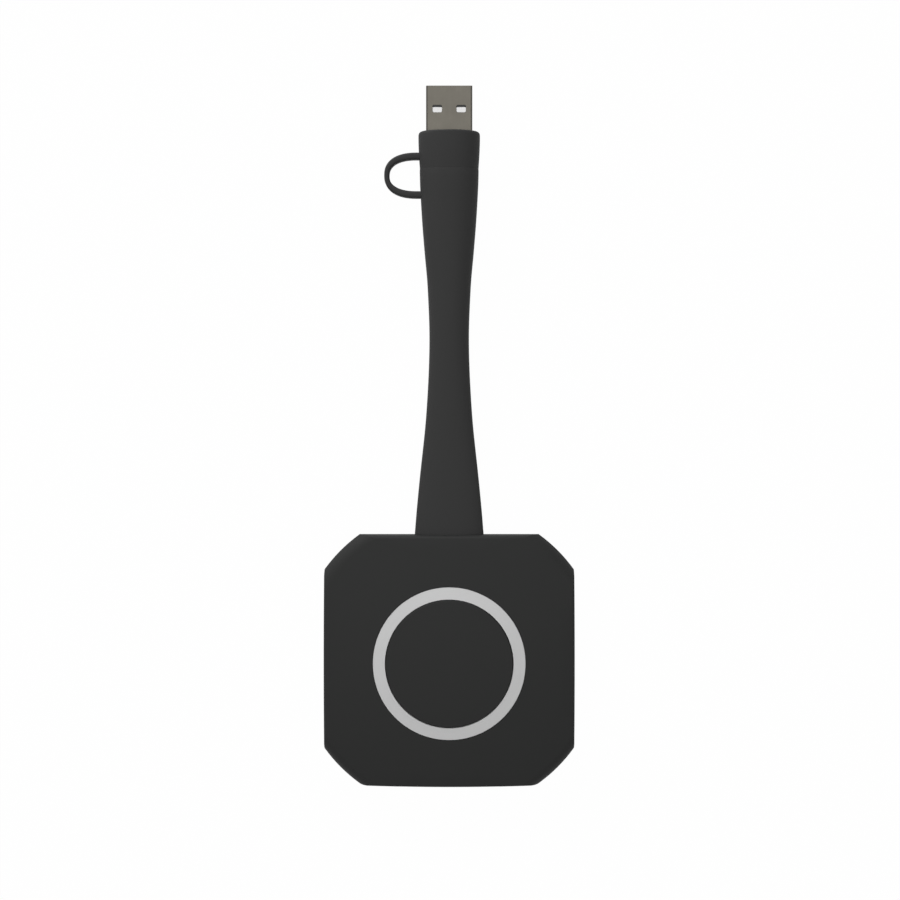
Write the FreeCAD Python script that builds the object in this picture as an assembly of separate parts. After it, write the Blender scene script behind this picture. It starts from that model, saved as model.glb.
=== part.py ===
import FreeCAD
import Part
import math
import os

# Wireless presentation dongle: a puck with a push disc in a light ring, a flexible arm, and a plug head
# whose USB-A adapter pulls off a USB-C plug on a short strap.
# Millimetres. The puck lies on its back on the table: +Z is up out of the push disc, +Y runs along the arm
# to the plug, and the origin is under the middle of the puck on the face that it rests on.

# Puck outline and face
PUCK_WIDTH = 65.0  # across the flats
RIM_RADIUS = 40.0  # circle that clips the four corners
PART_Z = 6.0  # plane where the front and rear cover meet
FACE_RISE = 5.6  # middle of the domed face above that plane
DOME_RADIUS = 230.0
BEVEL_SLOPE = 35.0  # of the straight run down to the rim at the corners, degrees
BEVEL_RADIUS = 6.0  # of the turn from the dome into that run
FLAT_CHAMFER = 0.35  # along the front edge of each flat
WALL = 1.6

# Puck back
REAR_SLOPE = 52.0  # of the back's clipped corners, degrees
REAR_DRAFT = 12.0  # lean of the back's four sides, degrees
REAR_CHAMFER = 1.0  # along the edges of the flat back
PAD_HALF_WIDTH = 28.5
PAD_CORNER_RADIUS = 33.0  # circle that clips the pad's corners
PAD_THICKNESS = 1.0
PAD_PROUD = 0.4  # how far the pad stands out of the back

# Lip that lines the covers up
LIP_HEIGHT = 0.9
LIP_THICKNESS = 1.0
FIT_GAP = 0.12  # between pieces that fit into each other without moving

# Latches that hold the covers together on the side away from the arm
LATCH_OFFSET = 12.0  # each side of the middle
LATCH_WIDTH = 5.0
LATCH_REACH = 0.5
LATCH_HEIGHT = 0.5

# Cover screws, on the arm's side
BOSS_INSET = 10.3  # from the inside of the lip to each screw, along X and Y
FRONT_BOSS_WIDTH = 5.0
REAR_BOSS_WIDTH = 6.5
BOSS_JOINT_Z = 4.0  # where the front and rear bosses meet
COVER_SCREW_RADIUS = 1.0
COVER_SCREW_LENGTH = 5.0
COVER_HEAD_RADIUS = 1.9
COVER_HEAD_HEIGHT = 1.2
COVER_HEAD_SEAT = 1.4  # depth of the head's recess above the pad
HOLE_GAP = 0.1  # a screw hole is this much larger in radius than its screw

# Ribs and posts that hold the boards between the two covers
PILLAR_WIDTH = 4.4
PILLAR_DEPTH = 3.4  # outward from the main board's edge
FOOT_DEPTH = 2.0  # of each pillar's foot under the main board's edge
PRESS_POST_WIDTH = 2.4
PRESS_POST_OFFSET = 14.2  # each side of the middle
PRESS_POST_INSET = 3.0  # from the main board's edge

# Boards
SPREADER_THICKNESS = 0.8
THERMAL_PAD_THICKNESS = 0.4
MAIN_BOARD_THICKNESS = 1.0
BOARD_INSET = 5.3  # from the inside of the lip to the main board's edge
BOARD_BOSS_GAP = 0.3  # between the main board's notched corners and the screw bosses
BOARD_SPACING = 1.7  # between the main board and the button board
BUTTON_BOARD_THICKNESS = 0.8
BUTTON_BOARD_MARGIN = 1.3  # button board beyond the light ring's tabs

# Light ring and its reflector
RING_OUTER_RADIUS = 19.6
RING_WIDTH = 3.05
RING_GAP = 0.05  # between the light ring and the front cover's hole
TAB_COUNT = 6
TAB_REACH = 1.6  # how far the ring's tabs reach under the front cover
TAB_WIDTH = 4.0
TAB_THICKNESS = 0.8
REFLECTOR_INSET = 0.75  # reflector's inner wall outside the light ring's
REFLECTOR_OUTSET = 1.4  # reflector's outer wall outside the light ring's
LED_COUNT = 12
LED_LENGTH = 1.6
LED_WIDTH = 0.8
LED_HEIGHT = 0.65
LED_CLEARANCE = 0.15

# Push disc, its switch and its return pad
BUTTON_TRAVEL = 0.6
CAP_GAP = 0.15  # running gap between the cap and the light ring
CAP_PROUD = 0.1  # cap above the line of the dome
CAP_THICKNESS = 1.4  # at the cap's edge
CAP_CHAMFER = 0.2
SKIRT_THICKNESS = 1.1
HOOK_COUNT = 3
HOOK_WIDTH = 4.0
HOOK_REACH = 0.6  # how far the skirt's hooks reach under the light ring
HOOK_HEIGHT = 0.6
TOUCH_GAP = 0.05  # between faces that rest on each other across a joint
CAP_POST_RADIUS = 2.2
CAP_RIB_COUNT = 6
CAP_RIB_THICKNESS = 0.8
CAP_RIB_HEIGHT = 0.5
SWITCH_WIDTH = 6.2
SWITCH_HEIGHT = 1.6
SWITCH_FLOOR = 0.2
STEM_RADIUS = 1.75
STEM_GAP = 0.1
STEM_ABOVE = 0.8  # stem above the switch body at rest
STEM_FLOOR_GAP = 0.05  # left under the stem when the disc is pressed home
RETURN_PAD_WIDTH = 12.0
RETURN_PAD_THICKNESS = 1.2  # of each side of the frame

# Parts on the boards
SHIELD_LENGTH = 24.0
SHIELD_WIDTH = 22.0
SHIELD_HEIGHT = 1.35
SHIELD_SHEET = 0.15
SHIELD_CENTRE = (-4.0, 1.0)
PROCESSOR_WIDTH = 13.0
PROCESSOR_HEIGHT = 0.9
PROCESSOR_OFFSET = (-4.0, 0.0)  # from the shield's centre
MEMORY_LENGTH = 7.0
MEMORY_WIDTH = 9.0
MEMORY_HEIGHT = 0.8
MEMORY_OFFSET = (7.3, 5.4)  # from the shield's centre, one each side
GAP_PAD_WIDTH = 12.0
SPREADER_LENGTH = 34.0
SPREADER_WIDTH = 30.0
WIFI_WIDTH = 11.0
WIFI_BOARD_THICKNESS = 0.5
WIFI_CAN_WIDTH = 9.6
WIFI_CAN_HEIGHT = 0.9
WIFI_CENTRE = (14.2, 8.0)
ANTENNA_LENGTH = 5.0
ANTENNA_WIDTH = 2.0
ANTENNA_HEIGHT = 0.8
ANTENNA_EDGE_GAP = 0.9  # from the main board's edge
ANTENNA_Y = -2.7
INDUCTOR_WIDTH = 4.0
INDUCTOR_HEIGHT = 1.3
INDUCTOR_CORNER = 0.65
INDUCTOR_CENTRES = ((12.0, -6.0), (12.0, -11.5), (17.5, -8.5))
CAPACITOR_LENGTH = 3.2
CAPACITOR_WIDTH = 1.6
CAPACITOR_HEIGHT = 1.2
CAPACITOR_CENTRES = ((-19.0, -8.5), (-19.0, -11.0), (-15.5, -12.5), (17.0, -13.5))
CRYSTAL_SIZE = (3.2, 2.5, 0.7)
CRYSTAL_CENTRE = (-18.6, 11.5)
FLASH_SIZE = (6.0, 5.0, 0.8)
FLASH_CENTRE = (-9.0, -15.5)
LINK_LENGTH = 10.0  # plug and socket between the two boards
LINK_WIDTH = 2.6
LINK_CENTRE = (4.0, -14.0)
LINK_TONGUE_WIDTH = 1.2
LINK_TONGUE_HEIGHT = 0.5
LINK_WALL = 0.5
CABLE_SOCKET_LENGTH = 8.5
CABLE_SOCKET_DEPTH = 3.2
CABLE_SOCKET_HEIGHT = 1.35
CABLE_PLUG_DEPTH = 2.2
CABLE_PLUG_LIFT = 0.15
CABLE_SOCKET_EDGE = 2.6  # socket's mouth inside the main board's edge

# Arm: how far each section is from the puck, its half width and its half thickness
ARM_LENGTH = 95.1
ARM_ROOT = (0.0, 8.98, 1.9)
ARM_SECTIONS = (
    (6.3, 8.47, 2.03),
    (14.5, 7.68, 2.22),
    (31.2, 5.98, 2.7),
    (49.5, 5.16, 3.3),
    (64.5, 5.64, 3.9),
    (73.0, 6.38, 4.36),
    (81.2, 7.04, 4.8),
    (91.0, 7.6, 5.18),
)
ARM_STEPS = 16  # straight-sided lengths that follow the arm's curve
OVAL_END = 0.62  # radius of an oval's ends, as a share of its half thickness
SEAM_HALF_WIDTH = 7.69
SEAM_HALF_THICKNESS = 5.25
SEAM_CHAMFER = 0.2
ARM_FLANGE_HALF_WIDTH = 10.5
ARM_FLANGE_THICKNESS = 2.0
ARM_FLANGE_HEIGHT = 5.4
ARM_FLANGE_LIFT = 0.2  # above the rear cover's floor
CRADLE_THICKNESS = 1.3
CRADLE_INNER = 3.0
CRADLE_OUTER = 9.5
REAR_CRADLE_HEIGHT = 3.4
FRONT_CRADLE_HEIGHT = 1.6

# Cable in the arm
CABLE_RADIUS = 1.3
CABLE_BORE_GAP = 0.05
CABLE_TAIL = 1.7  # cable past the arm's flange, inside the puck
WIRE_RADIUS = 0.3
WIRE_SIDES = 8
WIRE_PITCH = 1.2
WIRE_SPREAD = 0.5  # half the side of the square that the wires make in the cable

# USB-C plug on the arm's end
PLUG_WIDTH = 8.25
PLUG_HEIGHT = 2.4
PLUG_LENGTH = 6.65  # what stands out of the arm
PLUG_BURIED = 3.0
PLUG_SHEET = 0.25
PLUG_SLOT_WIDTH = 6.9
PLUG_SLOT_HEIGHT = 1.1
PLUG_SLOT_DEPTH = 5.65
PLUG_CONTACT_COUNT = 6
PLUG_CONTACT_PITCH = 1.0
PLUG_CONTACT_SIZE = (0.3, 4.0, 0.15)
PLUG_MOULD_LENGTH = 10.0
PLUG_MOULD_HALF_WIDTH = 5.4
PLUG_MOULD_HALF_THICKNESS = 3.3
PLUG_BOARD_SIZE = (6.4, 4.0, 0.6)

# Adapter head
SEAM_GAP = 0.12
HEAD_LENGTH = 9.7  # from the seam to the end that the USB-A plug leaves
HEAD_WIDEST = (7.2, 8.02, 5.5)
HEAD_END_ROUND = 0.9
HEAD_ROUND_STEPS = 2
CORE_FLANGE_HALF_WIDTH = 6.4
CORE_FLANGE_HALF_THICKNESS = 3.9
CORE_FLANGE_LENGTH = 1.6

# USB-C socket in the adapter
SOCKET_PLUG_GAP = 0.08  # around the plug, and past its tip
SOCKET_SHEET = 0.3
SOCKET_BASE_LENGTH = 0.6
TONGUE_WIDTH = 6.69
TONGUE_THICKNESS = 0.7
TONGUE_LENGTH = 4.45
SOCKET_PAD_LENGTH = 2.6
SOCKET_PAD_DEPTH = 0.05
ADAPTER_BOARD_THICKNESS = 0.7
ADAPTER_BOARD_GAP = 0.1

# USB-A plug
USB_A_WIDTH = 12.0
USB_A_HEIGHT = 4.5
USB_A_EXPOSED = 11.75
USB_A_SHEET = 0.3
USB_A_CORNER = 0.5
USB_A_CAVITY_DEPTH = 9.15
WINDOW_WIDTH = 2.5
WINDOW_LENGTH = 1.95
WINDOW_CORNER = 0.4
WINDOW_FROM_TIP = 5.0
WINDOW_OFFSET = 3.1  # each side of the middle
USB_A_TONGUE_THICKNESS = 1.85
USB_A_TONGUE_BACK = 0.35  # tongue's tip behind the shell's
BARB_GAP = 0.58  # open at the tip side of each window
BARB_SUNK = 0.08
USB_A_CONTACT_WIDTH = 1.0
USB_A_CONTACT_THICKNESS = 0.12
USB_A_CONTACT_PLACES = ((-3.5, 7.4), (-1.0, 6.4), (1.0, 6.4), (3.5, 7.4))  # X and length

# Strap between the arm and the adapter
STRAP_WIDTH = 3.4  # along Z
STRAP_CENTRE_X = -11.45
STRAP_BELOW_SEAM = 1.7  # strap's middle towards the puck from the seam
STRAP_OUTER_RADIUS = 5.47
STRAP_INNER_RADIUS = 4.08
STRAP_FLARE = 7.0  # lean of the outer edge towards its roots, degrees
STRAP_ROOT_X = -5.0  # well inside the arm and the head, which cut it to length

# Places worked out from the sizes above
HALF_WIDTH = PUCK_WIDTH / 2
LIP_HALF_WIDTH = HALF_WIDTH - WALL - FIT_GAP
LIP_INSIDE = LIP_HALF_WIDTH - LIP_THICKNESS
FACE_TOP_Z = PART_Z + FACE_RISE
DOME_CENTRE_Z = FACE_TOP_Z - DOME_RADIUS
REAR_Z = PAD_PROUD
FLOOR_Z = REAR_Z + WALL
PAD_TOP_Z = PAD_THICKNESS
HEAD_SEAT_Z = PAD_TOP_Z + COVER_HEAD_SEAT
BOSS_REACH = LIP_INSIDE - BOSS_INSET
BOSS_PLACES = [(-BOSS_REACH, BOSS_REACH), (BOSS_REACH, BOSS_REACH)]

SPREADER_Z = FLOOR_Z
THERMAL_PAD_Z = SPREADER_Z + SPREADER_THICKNESS
MAIN_BOARD_Z = THERMAL_PAD_Z + THERMAL_PAD_THICKNESS
MAIN_TOP_Z = MAIN_BOARD_Z + MAIN_BOARD_THICKNESS
MAIN_HALF_WIDTH = LIP_INSIDE - BOARD_INSET
NOTCH_EDGE = BOSS_REACH - REAR_BOSS_WIDTH / 2 - BOARD_BOSS_GAP
PILLAR_TURNS = (0, 180, 270)  # degrees about the puck's middle
PRESS_POST_PLACES = [
    (sx * PRESS_POST_OFFSET, sy * (MAIN_HALF_WIDTH - PRESS_POST_INSET)) for sx in (-1, 1) for sy in (-1, 1)
]
BUTTON_BOARD_Z = MAIN_TOP_Z + BOARD_SPACING
BUTTON_TOP_Z = BUTTON_BOARD_Z + BUTTON_BOARD_THICKNESS

RING_INNER_RADIUS = RING_OUTER_RADIUS - RING_WIDTH
TAB_RADIUS = RING_OUTER_RADIUS + TAB_REACH
HOLE_RADIUS = RING_OUTER_RADIUS + RING_GAP
LED_CIRCLE = (RING_OUTER_RADIUS + RING_INNER_RADIUS) / 2
REFLECTOR_INNER = RING_INNER_RADIUS + REFLECTOR_INSET
CAP_RADIUS = RING_INNER_RADIUS - CAP_GAP
BUTTON_BOARD_HALF_WIDTH = TAB_RADIUS + BUTTON_BOARD_MARGIN

FLANGE_Y = HALF_WIDTH - WALL - FIT_GAP  # outer face of the arm's flange
FLANGE_BACK_Y = FLANGE_Y - ARM_FLANGE_THICKNESS
CABLE_END_Y = FLANGE_BACK_Y - CABLE_TAIL
CABLE_MOUTH_Y = MAIN_HALF_WIDTH - CABLE_SOCKET_EDGE
SEAM_Y = HALF_WIDTH + ARM_LENGTH
PLUG_TIP_Y = SEAM_Y + PLUG_LENGTH
PLUG_MOULD_Y = SEAM_Y - PLUG_MOULD_LENGTH
HEAD_Y = SEAM_Y + SEAM_GAP
HEAD_END_Y = SEAM_Y + HEAD_LENGTH
SOCKET_BASE_Y = PLUG_TIP_Y + SOCKET_PLUG_GAP
SOCKET_END_Y = SOCKET_BASE_Y + SOCKET_BASE_LENGTH
ADAPTER_BOARD_Y = SOCKET_END_Y + ADAPTER_BOARD_GAP
USB_A_TIP_Y = HEAD_END_Y + USB_A_EXPOSED
USB_A_REAR_Y = HEAD_Y + CORE_FLANGE_LENGTH
INSULATOR_REAR_Y = ADAPTER_BOARD_Y + ADAPTER_BOARD_THICKNESS
WINDOW_TIP_Y = USB_A_TIP_Y - WINDOW_FROM_TIP
WINDOW_REAR_Y = WINDOW_TIP_Y - WINDOW_LENGTH

MARGIN = 1.0  # how far a cutting shape runs past what it cuts
EDGE_REACH = 0.001  # how near a plane an edge counts as lying on it
NEARLY_ALONG = 0.9  # cosine above which an edge counts as running along an axis
HALVINGS = 40  # enough to find a place on a curve exactly

Z_AXIS = FreeCAD.Vector(0, 0, 1)
Y_AXIS = FreeCAD.Vector(0, 1, 0)
X_AXIS = FreeCAD.Vector(1, 0, 0)


def point(x, y, z):
    return FreeCAD.Vector(x, y, z)


def box(x0, x1, y0, y1, z0, z1):
    return Part.makeBox(x1 - x0, y1 - y0, z1 - z0, point(x0, y0, z0))


def block(centre, size, z0):
    """An upright block on the plane z0: centre is X, Y and size is X, Y, Z."""
    (cx, cy), (sx, sy, sz) = centre, size
    return box(cx - sx / 2, cx + sx / 2, cy - sy / 2, cy + sy / 2, z0, z0 + sz)


def post(x, y, width, z0, z1):
    return block((x, y), (width, width, z1 - z0), z0)


def rod(radius, z0, z1, x=0.0, y=0.0):
    return Part.makeCylinder(radius, z1 - z0, point(x, y, z0), Z_AXIS)


def rod_along_y(radius, y0, y1):
    return Part.makeCylinder(radius, y1 - y0, point(0, y0, PART_Z), Y_AXIS)


def prism(sides, half_width, z0, z1):
    """An upright bar whose section has equal flat sides, the first of them facing +X."""
    corner = half_width / math.cos(math.pi / sides)
    angles = [2 * math.pi * (index + 0.5) / sides for index in range(sides)]
    points = [point(corner * math.cos(a), corner * math.sin(a), z0) for a in angles]
    return face_of(loop_through(points)).extrude(point(0, 0, z1 - z0))


def about_z(shape, degrees):
    """The shape turned about the puck's middle."""
    shape.rotate(point(0, 0, 0), Z_AXIS, degrees)
    return shape


def around(count, make):
    """One of what make builds at each of count even steps about the puck's middle."""
    return [about_z(make(), 360.0 * index / count) for index in range(count)]


def joined(shapes):
    """One solid from shapes that overlap."""
    first, *rest = shapes
    return first.fuse(rest).removeSplitter()


def group(shapes):
    """Several separate solids kept under one name."""
    return Part.makeCompound(shapes)


def edges_along(solid, axis):
    """The straight edges of a block that run along an axis."""
    return [e for e in solid.Edges if abs(e.tangentAt(e.FirstParameter).dot(axis)) > NEARLY_ALONG]


def line(a, b):
    return Part.LineSegment(a, b).toShape()


def arc(a, through, b):
    return Part.Arc(a, through, b).toShape()


def loop_through(points):
    """Straight edges through points and back to the first."""
    return [line(a, b) for a, b in zip(points, points[1:] + points[:1])]


def face_of(edges):
    return Part.Face(Part.Wire(edges))


def spin(edges):
    """A turned solid about the Z axis from a closed profile in the XZ plane."""
    return face_of(edges).revolve(point(0, 0, 0), Z_AXIS, 360)


def turned(corners):
    """A turned solid about the Z axis from the straight-sided profile through (radius, z) corners."""
    points = [point(r, 0, z) for r, z in corners]
    return spin(loop_through(points))


def rounded_bar(width, height, corner, y0, y1):
    """A bar along Y whose section is a rectangle with round corners."""
    bar = box(-width / 2, width / 2, y0, y1, PART_Z - height / 2, PART_Z + height / 2)
    return bar.makeFillet(corner, edges_along(bar, Y_AXIS))


def stadium_bar(width, height, y0, y1):
    """A bar along Y whose section has two straight sides and two half circles."""
    reach, half = (width - height) / 2, height / 2
    top = [point(-reach, y0, PART_Z + half), point(reach, y0, PART_Z + half)]
    bottom = [point(reach, y0, PART_Z - half), point(-reach, y0, PART_Z - half)]
    edges = [
        line(top[0], top[1]),
        arc(top[1], point(reach + half, y0, PART_Z), bottom[0]),
        line(bottom[0], bottom[1]),
        arc(bottom[1], point(-reach - half, y0, PART_Z), top[0]),
    ]
    return face_of(edges).extrude(point(0, y1 - y0, 0))


def oval_wire(y, half_width, half_thickness):
    """A flattened round section of four arcs that run into each other."""
    end = half_thickness * OVAL_END
    reach, depth = half_width - end, half_thickness - end
    centre_drop = (reach**2 - depth**2) / (2 * depth)
    angle = math.atan2(centre_drop, reach)
    tx, tz = reach + end * math.cos(angle), end * math.sin(angle)

    def at(x, z):
        return point(x, y, PART_Z + z)

    edges = [
        arc(at(tx, -tz), at(half_width, 0), at(tx, tz)),
        arc(at(tx, tz), at(0, half_thickness), at(-tx, tz)),
        arc(at(-tx, tz), at(-half_width, 0), at(-tx, -tz)),
        arc(at(-tx, -tz), at(0, -half_thickness), at(tx, -tz)),
    ]
    return Part.Wire(edges)


def oval_bar(half_width, half_thickness, y0, y1):
    return Part.Face(oval_wire(y0, half_width, half_thickness)).extrude(point(0, y1 - y0, 0))


def oval_skin(stations, steps):
    """A solid along Y through smoothed stations of Y, half width and half thickness."""
    course = Part.BSplineCurve()
    course.interpolate([point(width, y, thickness) for y, width, thickness in stations])
    first, last = stations[0][0], stations[-1][0]
    wires = []
    for step in range(steps + 1):
        y = first + (last - first) * step / steps
        section = course.value(place_on(course, y))
        wires.append(oval_wire(y, section.x, section.z))
    return Part.makeLoft(wires, True, True)


def place_on(course, y):
    """Where on the curve a Y is reached, found by halving."""
    low, high = course.FirstParameter, course.LastParameter
    for _ in range(HALVINGS):
        middle = (low + high) / 2
        low, high = (middle, high) if course.value(middle).y < y else (low, middle)
    return (low + high) / 2


def clipped_square(half_width, radius, z0, z1):
    """An upright plate: a square whose corners are clipped by a circle."""
    square = box(-half_width, half_width, -half_width, half_width, z0, z1)
    return square.common(rod(radius, z0, z1))


def dome_z(radius, drop=0.0):
    """Height of the domed face at a distance from the middle, or of a face a drop under it."""
    return DOME_CENTRE_Z + math.sqrt((DOME_RADIUS - drop) ** 2 - radius**2)


def bevel_points():
    """Start, middle and end of the arc that turns the dome into the straight run down to the rim."""
    slope = math.radians(BEVEL_SLOPE)
    size = DOME_RADIUS - BEVEL_RADIUS
    # the run's line is RIM_RADIUS out at PART_Z; the centre is BEVEL_RADIUS under it and under the dome
    rim_reach = RIM_RADIUS * math.sin(slope) + (PART_Z - DOME_CENTRE_Z) * math.cos(slope) - BEVEL_RADIUS
    lean = slope - math.acos(rim_reach / size)
    cr, cz = size * math.sin(lean), DOME_CENTRE_Z + size * math.cos(lean)
    angles = lean, (lean + slope) / 2, slope
    return [point(cr + BEVEL_RADIUS * math.sin(a), 0, cz + BEVEL_RADIUS * math.cos(a)) for a in angles]


def front_rim_radius(z, drop):
    """Radius at which the straight run to the rim, or a face a drop under it, passes a height."""
    slope = math.radians(BEVEL_SLOPE)
    return RIM_RADIUS - drop / math.sin(slope) - (z - PART_Z) / math.tan(slope)


def domed_slab(z0, rise=0.0):
    """Two opposite upright faces with the dome between: turned about a line along X through its centre."""
    edge = HALF_WIDTH - FLAT_CHAMFER
    top = point(edge, 0, dome_z(edge, -rise))
    right = [top, point(HALF_WIDTH, 0, top.z - FLAT_CHAMFER), point(HALF_WIDTH, 0, z0)]
    left = [point(-p.x, 0, p.z) for p in reversed(right)]
    outline = right + left
    sides = [line(a, b) for a, b in zip(outline, outline[1:])]
    profile = face_of([arc(left[-1], point(0, 0, FACE_TOP_Z + rise), top), *sides])
    centre = point(0, 0, DOME_CENTRE_Z)
    swing = math.degrees((RIM_RADIUS + 2 * MARGIN) / DOME_RADIUS)
    profile.rotate(centre, X_AXIS, -swing)
    return profile.revolve(centre, X_AXIS, 2 * swing)


def front_outer():
    """The front cover's outside: a domed slab, cut to its other two flats and to the turned body."""
    across = domed_slab(PART_Z - MARGIN)
    along = about_z(domed_slab(PART_Z - MARGIN), 90)
    return across.common(along).common(front_lens())


def front_lens():
    """The domed and bevelled turned body of the front cover."""
    turn, halfway, run = bevel_points()
    base, top = point(0, 0, PART_Z), point(0, 0, FACE_TOP_Z)
    crown = point(turn.x / 2, 0, dome_z(turn.x / 2))
    rim = point(RIM_RADIUS, 0, PART_Z)
    face = [line(base, top), arc(top, crown, turn), arc(turn, halfway, run)]
    return spin([*face, line(run, rim), line(rim, base)])


def front_room():
    """The room in the front cover, a wall's thickness inside its outside."""
    half = HALF_WIDTH - WALL
    ball = Part.makeSphere(DOME_RADIUS - WALL, point(0, 0, DOME_CENTRE_Z), X_AXIS)
    rim, top = front_rim_radius(PART_Z, WALL), front_rim_radius(FACE_TOP_Z, WALL)
    run = turned([(0.0, PART_Z), (0.0, FACE_TOP_Z), (top, FACE_TOP_Z), (rim, PART_Z)])
    return run.common(box(-half, half, -half, half, PART_Z, FACE_TOP_Z)).common(ball)


def rear_lens():
    """The dish-shaped turned body of the rear cover."""
    slope = math.radians(REAR_SLOPE)
    foot = RIM_RADIUS - (PART_Z - REAR_Z) / math.tan(slope)
    run = foot + REAR_CHAMFER * math.cos(slope), REAR_Z + REAR_CHAMFER * math.sin(slope)
    return turned([(0.0, REAR_Z), (foot - REAR_CHAMFER, REAR_Z), run, (RIM_RADIUS, PART_Z), (0.0, PART_Z)])


def leaning_slab(drop=0.0):
    """Two opposite sides that lean in towards the back, along Y; the outer one has chamfered back edges."""
    half, z0 = HALF_WIDTH - drop, REAR_Z + drop
    foot = half - (PART_Z - z0) * math.tan(math.radians(REAR_DRAFT))
    corners = [point(-half, 0, PART_Z), point(-foot, 0, z0), point(foot, 0, z0), point(half, 0, PART_Z)]
    slab = face_of(loop_through(corners)).extrude(point(0, 2 * RIM_RADIUS, 0))
    slab.translate(point(0, -RIM_RADIUS, 0))
    if drop == 0:
        long_edges = [e for e in slab.Edges if e.BoundBox.YLength > RIM_RADIUS]
        slab = slab.makeChamfer(REAR_CHAMFER, [e for e in long_edges if e.BoundBox.ZMax < PART_Z - MARGIN])
    return slab


def rear_body():
    """The rear cover's outside."""
    return rear_lens().common(leaning_slab()).common(about_z(leaning_slab(), 90))


def rear_room():
    """The room in the rear cover, a wall's thickness inside its outside."""
    slope = math.radians(REAR_SLOPE)
    rim = RIM_RADIUS - WALL / math.sin(slope)
    foot = rim - (PART_Z - FLOOR_Z) / math.tan(slope)
    dish = turned([(0.0, FLOOR_Z), (foot, FLOOR_Z), (rim, PART_Z), (0.0, PART_Z)])
    return dish.common(leaning_slab(WALL)).common(about_z(leaning_slab(WALL), 90))


def arm_neck(gap=0.0):
    """The flat neck of the arm where it passes the covers' wall, or with a gap its slot."""
    return oval_bar(ARM_ROOT[1] + gap, ARM_ROOT[2] + gap, FLANGE_Y - gap, HALF_WIDTH + gap)


def front_cover():
    solids = [front_outer().cut(front_room())]
    for x, y in BOSS_PLACES:
        solids.append(post(x, y, FRONT_BOSS_WIDTH, BOSS_JOINT_Z, under_dome(x, y)))
    for x, y in PRESS_POST_PLACES:
        solids.append(post(x, y, PRESS_POST_WIDTH, MAIN_TOP_Z, under_dome(x, y)))
    reach = MAIN_HALF_WIDTH + PILLAR_DEPTH / 2
    for turn in PILLAR_TURNS:
        presser = post(reach, 0.0, PRESS_POST_WIDTH, BUTTON_TOP_Z, under_dome(reach, 0.0))
        solids.append(about_z(presser, turn))
    cradle_top = under_dome(0.0, FLANGE_BACK_Y)
    for side in (-1, 1):
        solids.append(cradle_rib(side, cradle_top - FRONT_CRADLE_HEIGHT, cradle_top))
    cuts = [rod(HOLE_RADIUS, PART_Z, FACE_TOP_Z + MARGIN), arm_neck(FIT_GAP)]
    for x, y in BOSS_PLACES:
        tip = HEAD_SEAT_Z + COVER_SCREW_LENGTH + FIT_GAP
        cuts.append(rod(COVER_SCREW_RADIUS + HOLE_GAP, BOSS_JOINT_Z, tip, x, y))
    cuts.extend(latches(FIT_GAP))
    return joined(solids).cut(cuts)


def under_dome(x, y):
    """Height halfway through the front cover's wall."""
    return dome_z(math.hypot(x, y), WALL / 2)


def latches(gap=0.0):
    """Two ridges on the lip's outside, or with a gap their pockets in the front cover's wall."""
    half = LATCH_WIDTH / 2 + gap
    z0 = PART_Z + (LIP_HEIGHT - LATCH_HEIGHT) / 2 - gap
    z1 = z0 + LATCH_HEIGHT + 2 * gap
    y0, y1 = -LIP_HALF_WIDTH - LATCH_REACH - gap, -LIP_INSIDE - LIP_THICKNESS / 2
    places = [side * LATCH_OFFSET for side in (-1, 1)]
    return [box(x - half, x + half, y0, y1, z0, z1) for x in places]


def cradle_rib(side, z0, z1):
    """A rib that the inner face of the arm's flange leans on."""
    near, far = sorted((side * CRADLE_INNER, side * CRADLE_OUTER))
    back = FLANGE_BACK_Y - FIT_GAP
    return box(near, far, back - CRADLE_THICKNESS, back, z0, z1)


def lip():
    """The upright lip of the rear cover that the front cover slips over."""
    reach = front_rim_radius(PART_Z + LIP_HEIGHT, WALL)
    upper = clipped_square(LIP_HALF_WIDTH, reach - FIT_GAP, PART_Z, PART_Z + LIP_HEIGHT)
    lower = clipped_square(LIP_HALF_WIDTH + FIT_GAP, reach, FLOOR_Z, PART_Z)
    room = clipped_square(LIP_INSIDE, reach - FIT_GAP - LIP_THICKNESS, FLOOR_Z, PART_Z + LIP_HEIGHT)
    return joined([upper, lower]).cut(room)


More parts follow.
